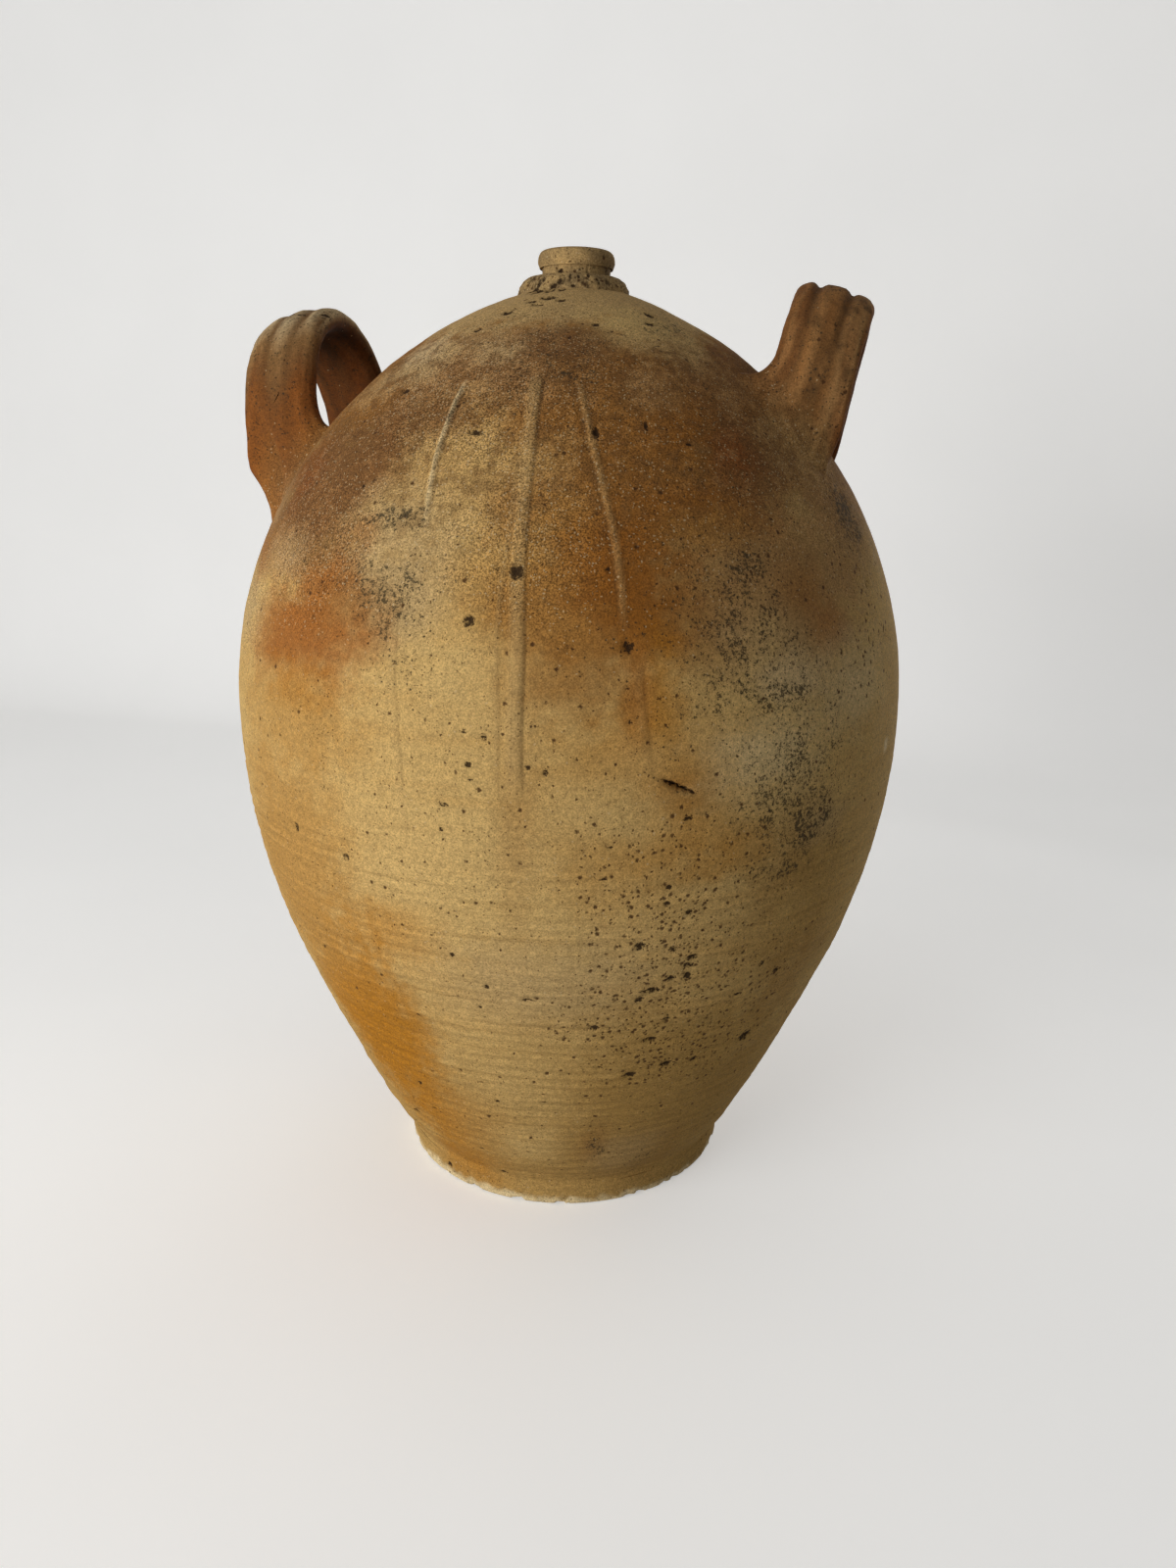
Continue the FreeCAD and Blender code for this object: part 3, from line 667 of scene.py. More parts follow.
class Shader(Nodes):
    """A new material, whose patterns lie on the piece's own coordinates."""

    def __init__(self, name):
        self.material = bpy.data.materials.new(name)
        super().__init__(self.material)
        self.surface = self.tree.nodes["Principled BSDF"]
        self.place = self.node("ShaderNodeTexCoord").outputs["Object"]

    def height(self):
        return self.node("ShaderNodeSeparateXYZ", Vector=self.place).outputs["Z"]

    def stirred(self):
        """Places moved a little to and fro, which makes specks ragged."""
        stir = self.node("ShaderNodeTexNoise", Vector=self.place, Scale=900.0, Detail=1.0).outputs["Color"]
        moved = self.node("ShaderNodeVectorMath", {"operation": "MULTIPLY_ADD"})
        for socket, value in zip(moved.inputs, (stir, (1.4 * MM,) * 3, self.place)):
            self.feed(socket, value)
        return moved.outputs[0]

    def attribute(self, name):
        return self.node("ShaderNodeAttribute", {"attribute_name": name}).outputs

    def channels(self, name):
        return self.node("ShaderNodeSeparateXYZ", Vector=self.attribute(name)["Vector"]).outputs

    def grain(self, scale, roughness, stretch=(1, 1, 1), detail=3.0):
        spread = self.node("ShaderNodeMapping", Vector=self.place, Scale=stretch).outputs[0]
        return self.node("ShaderNodeTexNoise", Vector=spread, Scale=scale, Detail=detail,
                         Roughness=roughness).outputs["Fac"]

    def specks(self, places, scale, share, small, large):
        """Specks in a share of the cells of a random honeycomb."""
        cells = self.node("ShaderNodeTexVoronoi", Vector=places, Scale=scale).outputs
        pick = self.node("ShaderNodeSeparateXYZ", Vector=cells["Color"]).outputs["X"]
        dot = self.ramp(cells["Distance"], small, large, 1, 0)
        return self.times(dot, self.maths("GREATER_THAN", share, pick))

    def ramp(self, value, low, high, start=0.0, end=1.0):
        made = self.node("ShaderNodeMapRange", {"interpolation_type": "SMOOTHSTEP"})
        for socket, number in zip(made.inputs[:5], (value, low, high, start, end)):
            self.feed(socket, number)
        return made.outputs[0]

    def mix(self, share, under, over, blend="MIX"):
        made = self.node("ShaderNodeMix", {"data_type": "RGBA", "blend_type": blend})
        self.feed(made.inputs["Factor"], share)
        self.feed(made.inputs[6], under)
        self.feed(made.inputs[7], over)
        return made.outputs[2]

    def over(self, under, share, strength, tint):
        """A tint laid over a colour where its share says, up to its strength."""
        return self.mix(self.times(share, strength), under, (*tint, 1))


def clay(name, settings):
    """Dry fired clay: its tint, stains and marks come from the piece, its grain and specks from noise."""
    tints, finish = settings.tints, settings.finish
    made = Shader(name)
    mottled, pitted, salted = made.channels("stains")
    spotted, edge, edge_shade = made.channels("marks")
    ragged = made.stirred()
    sand, gravel = made.grain(1300, 0.68), made.grain(420, 0.6)
    streaks, drift = made.grain(170, 0.55, (0.1, 0.1, 3.5)), made.grain(48, 0.6)

    # the tint, with its sandy grain and fine turned lines low on the jar
    lines = made.times(made.ramp(streaks, 0.3, 0.7, -0.08, 0.08), made.ramp(made.height(), 0.3, 0.2))
    rich = made.plus(made.times(salted, 0.95), 0.44)
    tone = made.plus(made.times(made.ramp(sand, 0.36, 0.64, -0.5, 0.52), rich), 1.0)
    tone = made.times(tone, made.ramp(gravel, 0.3, 0.7, 0.87, 1.13))
    tone = made.times(tone, made.plus(lines, 1.0))
    grey = made.node("ShaderNodeCombineColor", Red=tone, Green=tone, Blue=tone).outputs[0]
    colour = made.mix(1.0, made.attribute("wash")["Color"], grey, "MULTIPLY")

    # dark and pale specks
    share = made.times(made.ramp(drift, 0.36, 0.66, 0.05, 0.3), made.ramp(salted, 0.2, 1.0, 0.5, 1.05))
    colour = made.over(colour, made.specks(ragged, 960, share, 0.2, 0.44), 0.75, tints.rust)
    share = made.plus(made.times(salted, 0.4), 0.02)
    colour = made.over(colour, made.specks(ragged, 820, share, 0.2, 0.42), 0.55, tints.salt)

    # mottles and the dots scattered round them
    cloudy = made.plus(made.grain(560, 0.75, detail=4), made.times(sand, 0.5))
    cloudy = made.plus(cloudy, made.times(made.grain(110, 0.6), 0.4))
    level = made.maths("SUBTRACT", 1.21, made.times(mottled, 0.35))
    mottle = made.ramp(made.maths("SUBTRACT", cloudy, level), 0.0, 0.06)
    colour = made.over(colour, made.times(mottle, made.ramp(mottled, 0.02, 0.3)), 0.85, tints.soot)
    dots = made.specks(ragged, 640, made.times(mottled, 0.55), 0.16, 0.4)
    colour = made.over(colour, dots, 0.85, tints.soot)

    # pits, chips and the painted shadow along the runs' dark edges
    hole = made.specks(ragged, 290, made.times(pitted, 0.7), 0.13, 0.4)
    hole = made.maths("MAXIMUM", hole, made.specks(ragged, 520, made.times(pitted, 0.5), 0.14, 0.42))
    colour = made.over(colour, hole, 0.9, tints.rust)
    border = made.plus(made.times(sand, 3.0), made.times(gravel, 4.5))
    spot = made.ramp(made.plus(spotted, border), 3.6, 4.3)
    colour = made.over(colour, spot, 0.95, tints.pit_and_shade)
    # painted shadow along each run's dark edge
    line = made.times(made.ramp(made.maths("ABSOLUTE", edge), 0.2, 1.2, 1.0, 0.0), edge_shade)
    line = made.times(line, made.ramp(gravel, 0.35, 0.6, 0.35, 1.0))
    colour = made.over(colour, line, 0.9, tints.pit_and_shade)

    height = made.plus(made.times(sand, 0.6), made.times(gravel, 0.8))
    height = made.plus(height, made.times(lines, 2.5))
    height = made.maths("SUBTRACT", height, made.times(made.plus(hole, spot), 1.6))
    bump = made.node("ShaderNodeBump", Strength=0.7, Distance=finish.grain, Height=height).outputs[0]
    rough = made.ramp(gravel, 0.3, 0.7, finish.roughness - 0.08, finish.roughness + 0.12)
    made.feed(made.surface.inputs["Base Color"], colour)
    made.feed(made.surface.inputs["Roughness"], rough)
    made.feed(made.surface.inputs["Normal"], bump)
    made.surface.inputs["Specular IOR Level"].default_value = 0.12
    return made.material


def shared_clay(name, settings):
    return bpy.data.materials.get(name) or clay(name, settings)


# Meshes

def stretches(bm, cuts):
    """Chain of edges along X, one unit for each stretch of a section, cut into even steps."""
    ends = [bm.verts.new((index, 0, 0)) for index in range(len(cuts) + 1)]
    for pair in zip(ends, ends[1:]):
        bm.edges.new(pair)
    for index, count in enumerate(cuts):
        whole = [edge for edge in bm.edges if {vert.co.x for vert in edge.verts} == {index, index + 1}]
        bmesh.ops.subdivide_edges(bm, edges=whole, cuts=count)


def turned(name, cuts, section, columns, crowding=0.0):
    """Closed shell turned about the jar's axis; section gives radius and height along its stretches.

    A wedge is spun and doubled round until the turn is full. Crowding draws the columns together
    at the front, where the eye is closest.
    """
    bm = bmesh.new()
    stretches(bm, cuts)
    for vert in bm.verts:
        radius, height = section(vert.co.x)
        vert.co = (0, -radius, height)
    wedge = 2 * math.pi / 2**DOUBLINGS
    bmesh.ops.spin(bm, geom=bm.verts[:] + bm.edges[:], cent=(0, 0, 0), axis=(0, 0, 1), dvec=(0, 0, 0),
                   angle=wedge, steps=columns // 2**DOUBLINGS)
    for step in range(DOUBLINGS):
        copy = bmesh.ops.duplicate(bm, geom=bm.verts[:] + bm.edges[:] + bm.faces[:])["geom"]
        bmesh.ops.rotate(bm, verts=[item for item in copy if isinstance(item, bmesh.types.BMVert)],
                         cent=(0, 0, 0), matrix=Matrix.Rotation(wedge * 2**step, 3, "Z"))
    bmesh.ops.remove_doubles(bm, verts=bm.verts[:], dist=WELD)
    for vert in bm.verts:
        bearing = math.atan2(vert.co.x, -vert.co.y)
        vert.co.rotate(Matrix.Rotation(-crowding * math.sin(bearing), 3, "Z"))
    bmesh.ops.recalc_face_normals(bm, faces=bm.faces[:])
    return linked(bm, name)


def linked(bm, name):
    """Object of a finished bmesh, in the scene."""
    mesh = bpy.data.meshes.new(name)
    bm.to_mesh(mesh)
    bm.free()
    piece = bpy.data.objects.new(name, mesh)
    bpy.context.scene.collection.objects.link(piece)
    return piece


def split(along, count):
    """Number of the stretch at a place along a section, and the share of the way through it."""
    stretch = min(int(along), count - 1)
    return stretch, along - stretch


def polyline(corners):
    """Section function that runs straight from corner to corner."""

    def section(along):
        stretch, share = split(along, len(corners) - 1)
        return tuple(Vector(corners[stretch]).lerp(Vector(corners[stretch + 1]), share))

    return section


def points_of(piece):
    points = np.empty(len(piece.data.vertices) * 3)
    piece.data.vertices.foreach_get("co", points)
    return points.reshape(-1, 3)


def settle(piece, points):
    piece.data.vertices.foreach_set("co", points.ravel())
    piece.data.shade_smooth()
    piece.data.set_sharp_from_angle(angle=SHARP)
    piece.data.update()


def paint(piece, wash, stains, marks):
    """Keeps the tint, the stains and the marks of each vertex on the piece."""
    for name, values in (("wash", wash), ("stains", stains), ("marks", marks)):
        layer = piece.data.color_attributes.new(name, "FLOAT_COLOR", "POINT")
        full = np.concatenate([values, np.ones((len(values), 1))], axis=1)
        layer.data.foreach_set("color", full.ravel())


def hand_over(piece, slot, *nodes):
    """The piece moves with the jar and stands for its CAD nodes. Its slot is not used."""
    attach(piece, "root")
    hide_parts(*nodes)


def wall_piece(name, node, settings, low, high, rows):
    """One thrown half of the body, with its relief, tints and stains."""
    sizes = settings.sizes
    outline = Outline(sizes)

    def outer(share):
        height = outline.rise(low, high, share)
        return float(outline.radius(height)), height

    def inner(share):
        radius, height = outer(share)
        out, rise = outline.normal(radius, height)
        level = {0: low, 1: high}.get(share)
        height_in = level if level is not None else height - sizes.wall * float(rise)
        return radius - sizes.wall * float(out), height_in

    def section(along):
        stretch, share = split(along, 4)
        if stretch == 0:
            return outer(share)
        if stretch == 1:
            return tuple(Vector(outer(1)).lerp(Vector(inner(1)), share))
        if stretch == 2:
            return inner(1 - share)
        return tuple(Vector(inner(0)).lerp(Vector(outer(0)), share))

    piece = turned(name, (rows, 2, 14, 2), section, BODY_COLUMNS, CROWDING)
    points = points_of(piece)
    weather = Weather(points, settings)
    outside = weather.radius > outline.radius(points[:, 2]) - sizes.wall / 2
    out, rise = outline.normal(weather.radius, points[:, 2])
    lift = weather.relief() * outside
    spoke = points[:, :2] / weather.radius[:, None]
    points[:, :2] += spoke * (out * lift)[:, None]
    points[:, 2] += rise * lift
    settle(piece, points)
    paint(piece, weather.wash(), weather.stains(), weather.marks())
    piece.data.materials.append(shared_clay("weathered_body_clay", settings))
    hand_over(piece, "body_clay", node)
    return piece


class OLIVEJAR_OT_lower_bowl(bpy.types.Operator):
    """Make the thrown bowl from the foot up to the belly"""

    bl_idname = "olive_jar.lower_bowl"
    bl_label = "Lower bowl"

    def execute(self, context):
        settings = context.scene.olive_jar
        sizes = settings.sizes
        wall_piece("lower_bowl", "lower_wall", settings, sizes.foot_height, sizes.belly_height, BOWL_ROWS)
        return {"FINISHED"}


class OLIVEJAR_OT_shoulder_dome(bpy.types.Operator):
    """Make the thrown dome from the belly up to the neck"""

    bl_idname = "olive_jar.shoulder_dome"
    bl_label = "Shoulder dome"

    def execute(self, context):
        settings = context.scene.olive_jar
        sizes = settings.sizes
        wall_piece("shoulder_dome", "upper_wall", settings, sizes.belly_height, sizes.shoulder_height,
                   DOME_ROWS)
        return {"FINISHED"}


class OLIVEJAR_OT_foot_disc(bpy.types.Operator):
    """Make the base disc, with its chipped edge"""

    bl_idname = "olive_jar.foot_disc"
    bl_label = "Foot disc"

    def execute(self, context):
        settings = context.scene.olive_jar
        sizes = settings.sizes
        outline, tall = Outline(sizes), sizes.foot_height
        bevel, rounded, hollow = 2 * MM, 3 * MM, 1.2 * MM
        radius = float(outline.radius(bevel))

        def section(along):
            stretch, share = split(along, 4)
            turn = share * math.pi / 2
            if stretch == 0:
                return share * (radius - rounded), hollow * (1 - share)
            if stretch == 1:
                return radius - rounded * (1 - math.sin(turn)), bevel * (1 - math.cos(turn))
            if stretch == 2:
                height = bevel + (tall - bevel) * share
                return float(outline.radius(height)), height
            return float(outline.radius(tall)) * (1 - share), tall

        piece = turned("foot_disc", (8, 9, 8, 3), section, FOOT_COLUMNS, CROWDING)
        points = points_of(piece)
        weather = Weather(points, settings)
        rim = unit((weather.radius - radius + 14 * MM) / (8 * MM))
        low = unit(1 - weather.height / 8)
        chip = unit(cloud(points, 6 * MM, 11, 4) * 1.2 + cloud(points, 24 * MM, 12) * 0.5 - 0.1) * rim * low
        spoke = points[:, :2] / np.maximum(weather.radius, 1 * MM)[:, None]
        points[:, :2] -= spoke * (chip * 1.5 * MM)[:, None]
        points[:, 2] += chip * 1.3 * MM * (weather.height < 6)
        settle(piece, points)
        colour = weather.wash()
        # paler rim of the foot: partly worn edge, partly painted highlight, strongest on the side towards
        # the window lamp
        aside = np.abs(wrapped(weather.bearing, -35))
        worn_and_lit = unit(2.2 - weather.height / 3 + 0.8 * weather.fine + 0.5 * weather.grit - 0.006 * aside)
        lay(colour, settings.tints.cream, np.clip(0.95 * worn_and_lit * rim + 0.9 * chip, 0, 0.95))
        paint(piece, colour, weather.stains(), weather.marks())
        piece.data.materials.append(shared_clay("weathered_body_clay", settings))
        hand_over(piece, "body_clay", "base_disc")
        return {"FINISHED"}


class OLIVEJAR_OT_neck(bpy.types.Operator):
    """Make the neck tube, the rough coil that seals it and the rolled lip"""

    bl_idname = "olive_jar.neck"
    bl_label = "Neck, collar and lip"

    def execute(self, context):
        settings = context.scene.olive_jar
        sizes = settings.sizes
        outline = Outline(sizes)
        bore, neck = sizes.bore_radius, sizes.neck_radius + 0.5 * MM
        base, top = NECK_LOW.z, sizes.lip_top
        tube = [(neck, base), (neck - 0.4 * MM, sizes.lip_low + 2 * MM), (neck - 2.6 * MM, top - 1.4 * MM),
                (bore, top - 1.6 * MM), (bore, base), (neck, base)]
        self.ring("neck_tube", "neck", settings, polyline(tube), (18, 6, 4, 12, 4), 0.45)
        broad = sizes.collar_radius
        foot = float(outline.dome.centre_height) + math.sqrt(
            outline.dome.size**2 - (broad - outline.dome.centre_radius) ** 2)
        rim = sizes.collar_top
        collar = [(broad + 1.6 * MM, foot - 1.6 * MM), (broad + 0.4 * MM, foot + 2.4 * MM),
                  (broad - 1.6 * MM, rim - 1.6 * MM), (broad - 4 * MM, rim + 0.3 * MM),
                  (neck - 1.2 * MM, rim + 0.8 * MM), (neck - 1.2 * MM, foot - 4 * MM),
                  (broad + 1.6 * MM, foot - 1.6 * MM)]
        self.ring("collar_coil", "neck_collar", settings, polyline(collar), (8, 10, 6, 6, 3, 3), 1.0)
        low, widest = sizes.lip_low, sizes.lip_low + 2.6 * MM
        brim, crown = sizes.lip_radius + 0.3 * MM, bore + 3 * MM
        inner, under = 2.2 * MM, 2.5 * MM

        def lip(along):
            stretch, share = split(along, 6)
            turn = share * math.pi / 2
            if stretch == 1:
                return (crown + (brim - crown) * math.cos(turn) ** 0.62,
                        widest + (top - widest) * math.sin(turn) ** 0.8)
            if stretch == 2:
                return crown - inner * math.sin(turn), top - under * (1 - math.cos(turn))
            edge, seat = (brim - 0.9 * MM, low), (neck - 0.8 * MM, low + 1.2 * MM)
            throat = (crown - inner, low + 0.8 * MM)
            corners = {0: (edge, (brim, widest)), 3: ((crown - inner, top - under), throat),
                       4: (throat, seat), 5: (seat, edge)}
            return polyline(corners[stretch])(share)

        self.ring("lip_roll", "lip_ring", settings, lip, (5, 16, 8, 4, 3, 3), 0.12)
        return {"FINISHED"}

    def ring(self, name, node, settings, section, cuts, roughness):
        """One turned ring of the neck with its nicks and pits."""
        piece = turned(name, cuts, section, NECK_COLUMNS)
        points = points_of(piece)
        weather = Weather(points, settings)
        outside = unit((weather.radius - settings.sizes.bore_radius) / (3 * MM) - 0.6)
        fine = cloud(points, 2.6 * MM, 21, 4)
        nick = unit(cloud(points * np.array((1, 1, 0.3)), 2.2 * MM, 22, 3) - 0.25)
        lift = roughness * (0.35 * fine - 1.1 * nick) + 0.2 * weather.broad - 0.2
        if name == "collar_coil":
            lift += 2.4 * unit(-np.sin(np.radians(weather.bearing))) ** 2 + 0.7 * weather.fine
        spoke = points[:, :2] / weather.radius[:, None]
        points[:, :2] += spoke * ((lift * MM - weather.dents()) * outside)[:, None]
        settle(piece, points)
        tints = settings.tints
        colour = np.tile(np.array(tints.drab), (len(points), 1))
        lay(colour, tints.tan, 0.25 + 0.8 * weather.fine)
        dark = np.clip(nick * 1.7 * roughness + 0.5 * unit(fine - 0.35) * roughness, 0, 0.8)
        lay(colour, tints.pit_and_shade, dark)
        stains = np.tile(np.array((0.3 * roughness, 0.5 * roughness, 0.15)), (len(points), 1))
        paint(piece, colour, stains, weather.marks())
        piece.data.materials.append(shared_clay("pale_neck_clay", settings))
        hand_over(piece, "neck_clay", node)


class Hoop:
    """One strap handle: the path of its arch and legs, its section and the spread of its feet."""

    def __init__(self, side, sizes, outline):
        radius = float(outline.radius(sizes.seat))
        self.side, self.sizes, self.outline = side, sizes, outline
        self.base = Vector((side * math.sqrt(radius**2 - sizes.half_span**2), 0, sizes.seat))
        self.out = Vector((side, 0, -math.tan(sizes.slope)))
        self.up = Vector((side * math.sin(sizes.lean), 0, math.cos(sizes.lean)))

    def place(self, across, lift, along):
        """Point at a distance along the strap from its crest; the front leg has negative distances."""
        span = self.sizes.half_span
        turn = max(-math.pi / 2, min(math.pi / 2, along / span))
        below = max(abs(along) - span * math.pi / 2, 0)
        sideways = (span + lift) * math.sin(turn)
        rise = self.sizes.leg + (span + lift) * math.cos(turn) - below
        drop = span * (1 - math.cos(turn)) + below if along > 0 else 0
        draw, step = math.tan(self.sizes.back_draw), math.tan(self.sizes.back_step)
        moved = Vector((-self.side * draw * drop, sideways + step * drop, 0))
        return self.base + self.out * across + self.up * rise + moved

    def section(self, turn, along):
        """Offsets across and through the strap: a flat oval with three ridges on its outer face."""
        sizes = self.sizes
        share = min(abs(along) / STRAP_REACH, 1)
        width = sizes.crest + (sizes.foot - sizes.crest) * share**2
        side, face = math.cos(turn), math.sin(turn)
        across = math.copysign(abs(side) ** STRAP_POWER, side)
        lift = math.copysign(abs(face) ** FACE_POWER, face) * sizes.thickness / 2
        if face > 0:
            lift -= sizes.ridge * self.groove(across) * face**0.3 * max(1 - sizes.fading * share, 0.12)
            lift -= sizes.crown * across**2
        return across * width / 2, lift

    def groove(self, across):
        """Depth of the two grooves, from 0 to 1, across the strap from -1 at the jar to 1."""
        sizes = self.sizes
        places = (sizes.inner_groove, sizes.outer_groove)
        return sum(math.exp(-(((across - place) / sizes.groove) ** 2)) for place in places)

    def column(self, turn, way):
        """Function that gives the points of one line along the strap, from the crest to a foot."""

        def strand(distance):
            across, lift = self.section(turn, distance)
            return self.place(across, lift, way * distance)

        def landing(line):
            distance = 20 * MM
            while self.outline.over_dome(line(distance)) > 0:
                distance += 0.25 * MM
            return distance

        hit = landing(strand)
        heart = self.place(0, 0, way * landing(lambda distance: self.place(0, 0, way * distance)))
        outer, inner = max(math.cos(turn), 0), max(-math.cos(turn), 0)
        front = max(math.sin(turn), 0)
        pressed = float(fade(1.5 - 2 * outer**STRAP_POWER, 0.9))
        tuck = self.sizes.tuck * pressed * (1 if way < 0 else 0.3)
        clear = (9 + 17 * front) * MM + tuck + 0.5 * self.sizes.smear * inner
        start = strand(hit - clear)
        end = strand(hit - 0.6 * tuck)
        away = (end - self.outline.on_dome(heart)).normalized()
        drop = min(0.62 * clear, (18 - 8 * outer**2) * MM)
        lifted = (1.0 + 2 * front) * MM + 0.08 * tuck * outer
        bend = self.outline.on_dome(start - self.up * drop, -lifted)
        spread = (8 + 9 * front - 6 * outer**2) * MM + self.sizes.smear * inner
        rest = self.outline.on_dome(end + away * spread, 0.9 * MM)

        def at(share):
            if share <= FOOT_START:
                return strand((hit - clear) * share / FOOT_START)
            step = (share - FOOT_START) / (1 - FOOT_START)
            return start * (1 - step) ** 2 + bend * 2 * step * (1 - step) + rest * step**2

        return at


class OLIVEJAR_OT_hoops(bpy.types.Operator):
    """Make the two strap handles, smeared onto the dome at their feet"""

    bl_idname = "olive_jar.hoops"
    bl_label = "Strap handles"

    def execute(self, context):
        settings = context.scene.olive_jar
        outline = Outline(settings.sizes)
        self.strap("left", Hoop(-1, settings.left_hoop, outline), settings)
        self.strap("right", Hoop(1, settings.right_hoop, outline), settings)
        return {"FINISHED"}

    def strap(self, name, hoop, settings):
        bm = bmesh.new()
        bmesh.ops.create_grid(bm, x_segments=STRAP_ROWS, y_segments=STRAP_COLUMNS, size=1)
        keep_share = bm.verts.layers.float.new("share")
        keep_turn = bm.verts.layers.float.new("turn")
        columns = {}
        for vert in bm.verts:
            share, turn = vert.co.x, math.pi * (vert.co.y + 1)
            way = 1 if share >= 0 else -1
            key = (round(turn, 5), way)
            if key not in columns:
                columns[key] = hoop.column(turn, way)
            vert[keep_share] = abs(share)
            vert[keep_turn] = turn
            vert.co = columns[key](abs(share))
        bmesh.ops.remove_doubles(bm, verts=bm.verts[:], dist=WELD)
        feet = [vert for vert in bm.verts if 0.6 < vert[keep_share] < 0.93]
        for _ in range(4):
            bmesh.ops.smooth_vert(bm, verts=feet, factor=0.5,
                                  use_axis_x=True, use_axis_y=True, use_axis_z=True)
        bmesh.ops.holes_fill(bm, edges=[edge for edge in bm.edges if edge.is_boundary], sides=0)
        bmesh.ops.recalc_face_normals(bm, faces=bm.faces[:])
        piece = linked(bm, f"{name}_hoop")
        self.finish(piece, hoop, settings)
        nodes = [f"{name}_handle", f"{name}_handle_front_wad", f"{name}_handle_back_wad"]
        hand_over(piece, "handle_clay", *nodes)

    def finish(self, piece, hoop, settings):
        """Relief and tints of the strap, with the dome's own tint at its feet."""
        points = points_of(piece)
        share, turn = (self.taken(piece, key) for key in ("share", "turn"))
        side, face = np.cos(turn), np.sin(turn)
        across = np.sign(side) * np.abs(side) ** STRAP_POWER
        weather = Weather(points, settings)
        spread = np.stack([across * 19 * MM, face * 6 * MM, share * 13 * MM], axis=1)
        strands = cloud(spread, 4 * MM, 31)
        flow = cloud(spread, 11 * MM, 32)
        colour = self.wash(hoop, settings.tints, weather, share, across, face, strands, flow)
        blend = unit((share - 0.8) / 0.16)[:, None]
        colour += (weather.wash() - colour) * blend
        near_body = weather.stains()
        stains = np.maximum(near_body * np.array((0.6, 0.5, 0.0)), np.array((0.3, 0.05, 0.0)))
        stains[:, 0] += 0.12 * unit((0.42 - share) / 0.3) + 0.08
        stains[:, 2] = -0.03
        stains += (near_body - stains) * blend
        lift = 0.35 * MM * strands * (share < 0.9) + 0.25 * MM * weather.fine
        normals = np.empty(len(points) * 3)
        piece.data.vertices.foreach_get("normal", normals)
        points += normals.reshape(-1, 3) * (lift * unit((0.95 - share) / 0.1))[:, None]
        settle(piece, points)
        paint(piece, colour, stains, weather.marks())
        piece.data.materials.append(shared_clay("burnt_handle_clay", settings))

    def wash(self, hoop, tints, weather, share, across, face, strands, flow):
        """Tint of the strap: dusty at the crest, red-brown down the legs, with painted shade in the grooves
        and on the inner face.
        """
        outside, inside = unit(face * 3), unit(-face * 2)
        places = (hoop.sizes.inner_groove, hoop.sizes.outer_groove)
        groove = sum(np.exp(-(((across - place) / GROOVE_SHADE_WIDTH) ** 2)) for place in places)
        colour = np.tile(np.array(tints.bark), (len(share), 1))
        if hoop.side < 0:
            lower = unit((share - 0.44) / 0.25)
            dust = outside * unit((0.66 - share) / 0.3) * (1 - 0.6 * groove)
            lay(colour, tints.taupe, dust * (0.8 + 0.9 * strands))
            dust = outside * unit((0.42 - share) / 0.2) * (1 - 0.8 * groove)
            lay(colour, tints.salt, dust * (0.75 + 0.9 * strands))
            lay(colour, tints.ember, 0.8 * lower * (0.8 + 0.6 * flow))
            streaks = unit(1.6 * strands + 0.8 * weather.grit - 0.15)
            lay(colour, tints.bark, 0.5 * outside * streaks * (1 - lower))
            lay(colour, tints.sienna, 0.6 * unit((share - 0.58) / 0.15) * (0.6 + 0.7 * flow) * outside)
            lay(colour, tints.pit_and_shade, 0.3 * unit((across - 0.7) / 0.3) * (1 - lower))
            lay(colour, tints.honey, 0.5 * unit((share - 0.78) / 0.12) * unit(across - 0.3))
        else:
            dust = 0.35 + 0.7 * strands + 0.3 * (across > 0.4)
            lay(colour, tints.taupe, outside * dust * (1 - 0.7 * groove))
            lay(colour, tints.ember, 0.4 * unit(-across - 0.2) + 0.5 * unit((across - 0.86) / 0.1))
            lay(colour, tints.ember, 0.5 * unit(0.15 + 1.2 * flow))
            lay(colour, tints.sienna, 0.4 * unit(-0.2 - 1.6 * flow + strands) * outside)
            lay(colour, tints.pit_and_shade, 0.6 * unit(1.8 * weather.fine - 0.35) * outside)
        # painted shade in the grooves, fading down the legs
        groove_shade = outside * groove * unit(1 - hoop.sizes.fading * 0.7 * share)
        lay(colour, tints.pit_and_shade, 0.5 * groove_shade * (0.6 + 0.6 * strands))
        # inner face: red-brown with painted shade over it, darkest towards the crest
        lay(colour, tints.ember, inside * (0.7 + 0.5 * flow))
        lay(colour, tints.pit_and_shade, inside * (0.5 + 0.35 * unit((0.42 - share) / 0.3)) * (0.85 + 0.4 * strands))
        return colour

    def taken(self, piece, key):
        """Values of a working layer, which is then removed from the piece."""
        layer = piece.data.attributes[key]
        values = np.empty(len(piece.data.vertices), np.float32)
        layer.data.foreach_get("value", values)
        piece.data.attributes.remove(layer)
        return values.astype(float)


